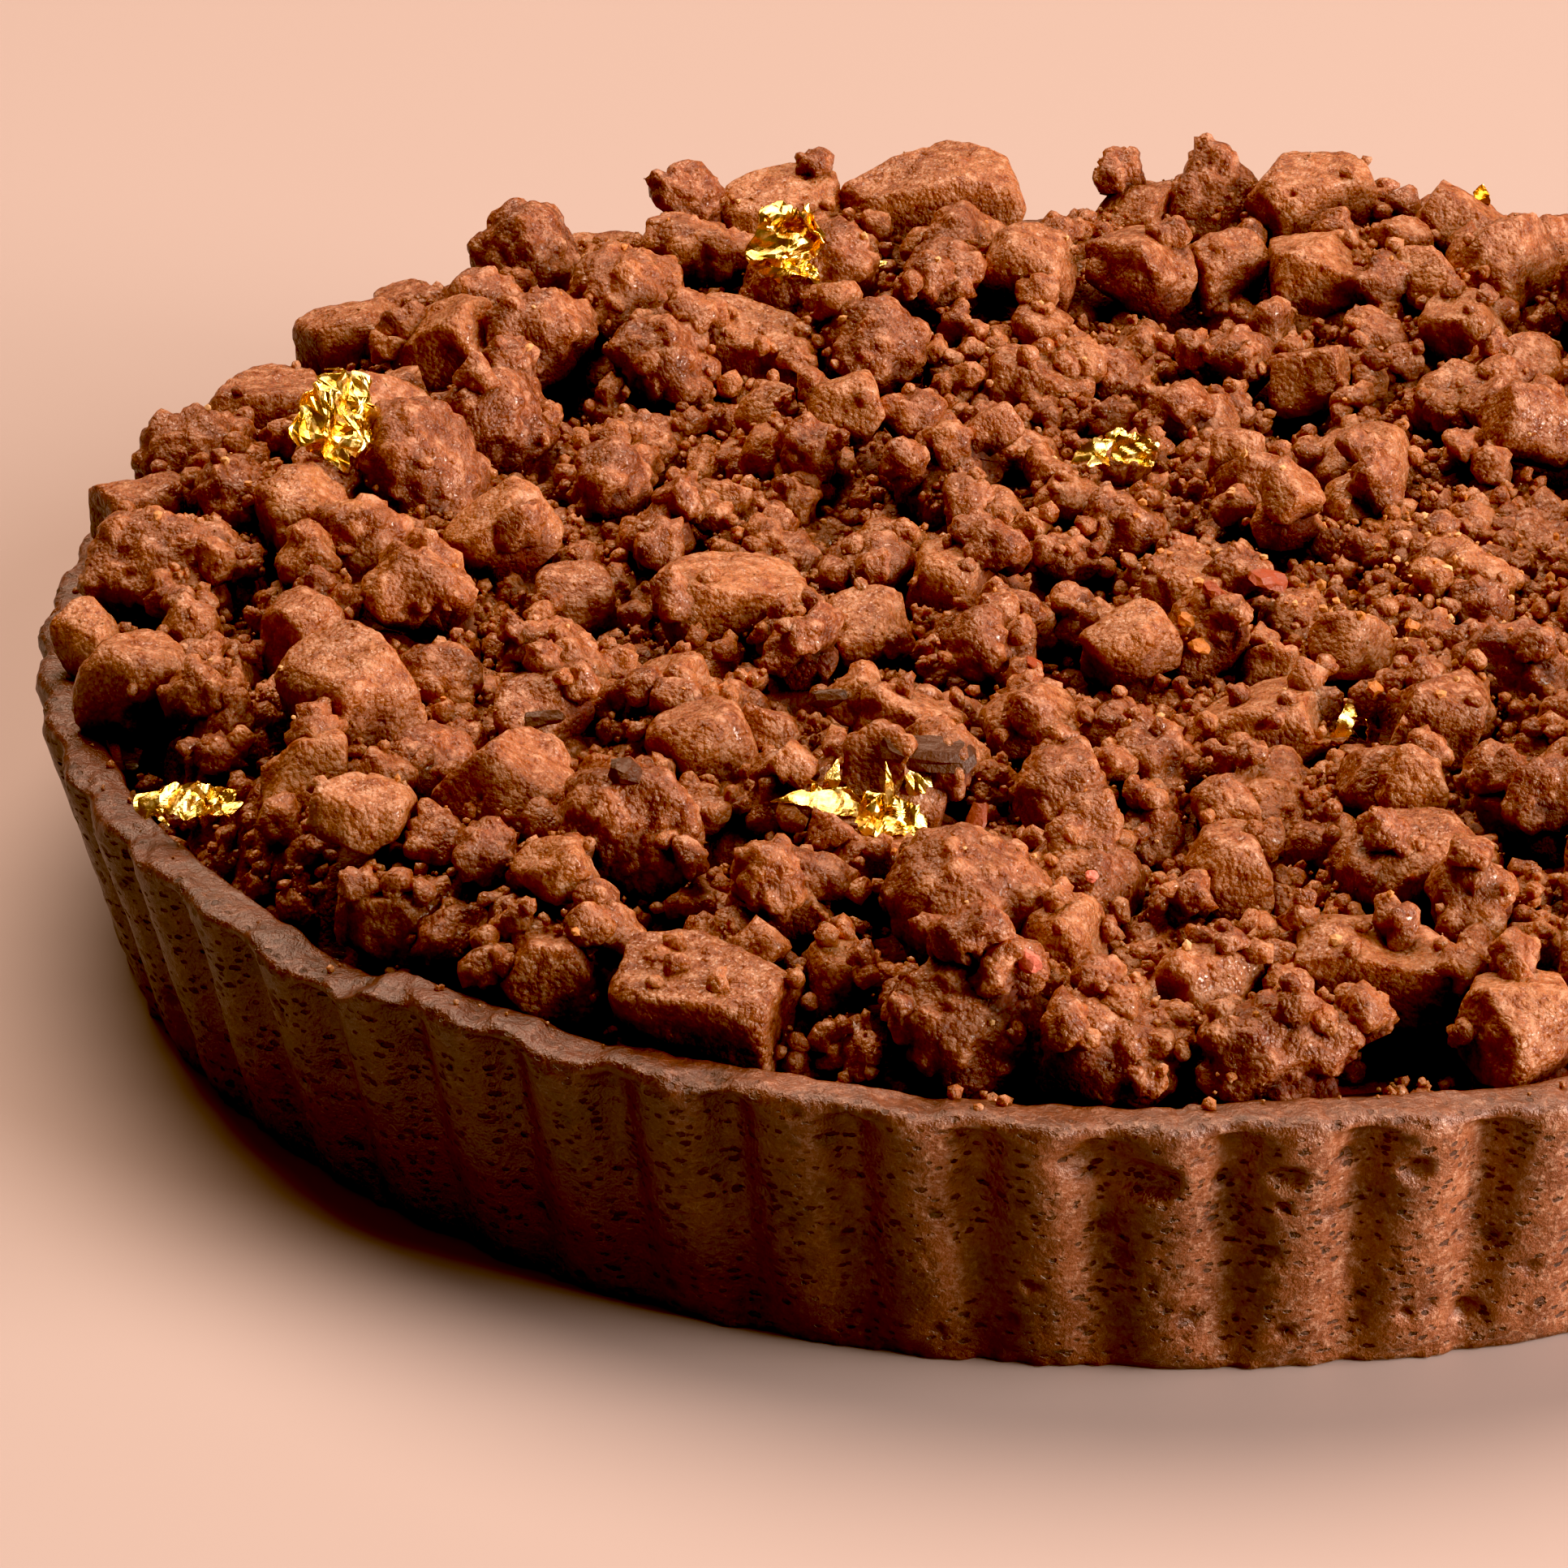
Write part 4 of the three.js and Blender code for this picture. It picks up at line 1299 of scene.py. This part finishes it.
def goldFinish():
    finish = Finish("goldLeaf", {"Metallic": 1.0})
    wrinkles = finish.noise(0.9, 3)
    colour = finish.blend(finish.between(wrinkles, 0.35, 0.65), goldLook["deep"], goldLook["bright"])
    finish.put({"Base Color": colour, "Roughness": finish.between(wrinkles, 0.3, 0.7) * 0.14 + 0.18})
    finish.bump(wrinkles + finish.noise(0.35) * 0.4, 0.05)
    return finish.material


def crumpledSheet(place, length, width, crumple, pointed, seed):
    # a flat grid from -1 to 1 becomes a ragged leaf with sharp folds
    u, v = place[:, 0], place[:, 1]
    flatPlace = np.stack([u, v, 0 * u], axis=1)
    ragged = 1 + 0.22 * softNoise(flatPlace * 3, 1, seed) + 0.16 * softNoise(flatPlace * 8, 1, seed + 1)
    narrowing = 1 - pointed * np.abs(u) ** 1.6
    x = 0.5 * length * u * (1 - 0.1 * v * v)
    y = 0.5 * width * v * narrowing * ragged
    sheet = np.stack([x, y, np.zeros_like(x)], axis=1)
    drift = np.stack([softNoise(sheet, 1.4, seed + i) for i in (2, 3)], axis=1)
    sheet[:, :2] += 0.16 * width * crumple * drift
    chance = np.random.default_rng(seed)
    lift = -0.12 * length * (u * u) + 0.1 * width * softNoise(sheet, 2.5, seed + 4)
    for wave, depth in goldLook["folds"]:
        turn = chance.uniform(0, math.pi)
        along = (sheet[:, 0] * math.cos(turn) + sheet[:, 1] * math.sin(turn)) / wave + chance.random()
        lift += crumple * depth * (4 * np.abs(along - np.floor(along + 0.5)) - 1)
    sheet[:, 2] = lift - lift.mean()
    return sheet


def buildFlake(number, shreds, finish):
    lowest, highest = (np.array(corner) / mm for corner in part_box(f"gold_leaf_{number}"))
    parts = []
    for seed, shred in enumerate(shreds, 300 + 40 * number):
        offset, length, width, turn, roll, pitch, crumple, pointed = shred
        deselectAll()
        columns, rows = goldLook["columns"], goldLook["rows"]
        bpy.ops.mesh.primitive_grid_add(x_subdivisions=columns, y_subdivisions=rows, size=2 * mm)
        leaf = bpy.context.object
        sheet = crumpledSheet(placesOf(leaf), length, width, crumple, pointed, 10 * seed)
        sheet = sheet @ turned(turn, pitch, roll) + (lowest + highest) / 2 + np.array(offset)
        sheet[:, 2] = np.minimum(sheet[:, 2], cadBounds[1][2] / mm - heap["topGap"])
        moveTo(leaf, sheet)
        thick = leaf.modifiers.new("thickness", "SOLIDIFY")
        thick.thickness = goldLook["thickness"] * mm
        thick.offset = 0
        makeActive(leaf)
        bpy.ops.object.modifier_apply(modifier="thickness")
        bpy.ops.object.shade_flat()
        parts.append(leaf)
    deselectAll()
    for leaf in parts:
        leaf.select_set(True)
    bpy.context.view_layer.objects.active = parts[0]
    if len(parts) > 1:
        bpy.ops.object.join()
    parts[0].name = f"goldLeaf{number}"
    settle(parts[0], finish, "gold_leaf", f"gold_leaf_{number}")


gold = goldFinish()
for number, shreds in enumerate(goldFlakes, 1):
    buildFlake(number, shreds, gold)
print("gold leaf done")


studio = {
    "floorColour": (178, 164, 164),
    "floorSize": 8,
    "floorSunk": 0.0002,
    "worldColour": (255, 186, 136),
    "worldStrength": 0.085,
    "blackLevel": (0.011, 0.016, 0.022),
    # place, size, power and colour of each light
    "lights": {
        "key": ((1.1, -0.51, 0.7), 0.9, 25, (255, 238, 222)),
        "side": ((1.2, -0.44, 0.24), 0.4, 16, (255, 226, 208)),
        "top": ((-0.1, 0.6, 1.3), 1.3, 33, (255, 220, 192)),
    },
}

camera = {
    "target": (-33.15, 14.71, 0),
    "distance": 608,
    "elevation": 25.489,
    "roll": -0.907,
    "lens": 149.07,
}


def areaLight(name, place, size, power, colour):
    lamp = bpy.data.lights.new(name, "AREA")
    lamp.shape = "DISK"
    lamp.size = size
    lamp.energy = power
    lamp.color = toLinear(*colour)[:3]
    light = bpy.data.objects.new(name, lamp)
    light.location = place
    light.rotation_euler = (-Vector(place)).to_track_quat("-Z", "Y").to_euler()
    bpy.context.collection.objects.link(light)


def buildStudio():
    deselectAll()
    bpy.ops.mesh.primitive_plane_add(size=studio["floorSize"], location=(0, 0, -studio["floorSunk"]))
    floor = bpy.context.object
    floor.name = "floor"
    finish = Finish("paleFloor", {"Specular IOR Level": 0.3, "Roughness": 0.55})
    finish.put({"Base Color": toLinear(*studio["floorColour"])})
    floor.data.materials.append(finish.material)
    floor.visible_diffuse = False  # it throws no light back on the tart
    for name, settings in studio["lights"].items():
        areaLight(name, *settings)
    world = bpy.data.worlds.new("studio")
    world.use_nodes = True
    background = world.node_tree.nodes["Background"]
    background.inputs["Color"].default_value = toLinear(*studio["worldColour"])
    background.inputs["Strength"].default_value = studio["worldStrength"]
    bpy.context.scene.world = world
    view = bpy.context.scene.view_settings
    view.view_transform = "Standard"
    # deep shadows, as in a contrasty print
    view.use_curve_mapping = True
    view.curve_mapping.black_level = studio["blackLevel"]
    view.curve_mapping.update()


def buildCamera():
    lens = bpy.data.cameras.new("camera")
    lens.lens = camera["lens"]
    lens.sensor_width = 36
    lens.clip_start = 0.01
    lens.clip_end = 20
    eye = bpy.data.objects.new("camera", lens)
    bpy.context.collection.objects.link(eye)
    tilt = math.radians(camera["elevation"])
    back = Vector((0, -math.cos(tilt), math.sin(tilt)))
    place = (Vector(camera["target"]) + back * camera["distance"]) * mm
    roll = Matrix.Rotation(math.radians(camera["roll"]), 4, "Z")
    facing = Matrix.Rotation(math.pi / 2 - tilt, 4, "X") @ roll
    eye.matrix_world = Matrix.Translation(place) @ facing
    bpy.context.scene.camera = eye


buildStudio()
buildCamera()
bpy.context.view_layer.update()
print("studio done")
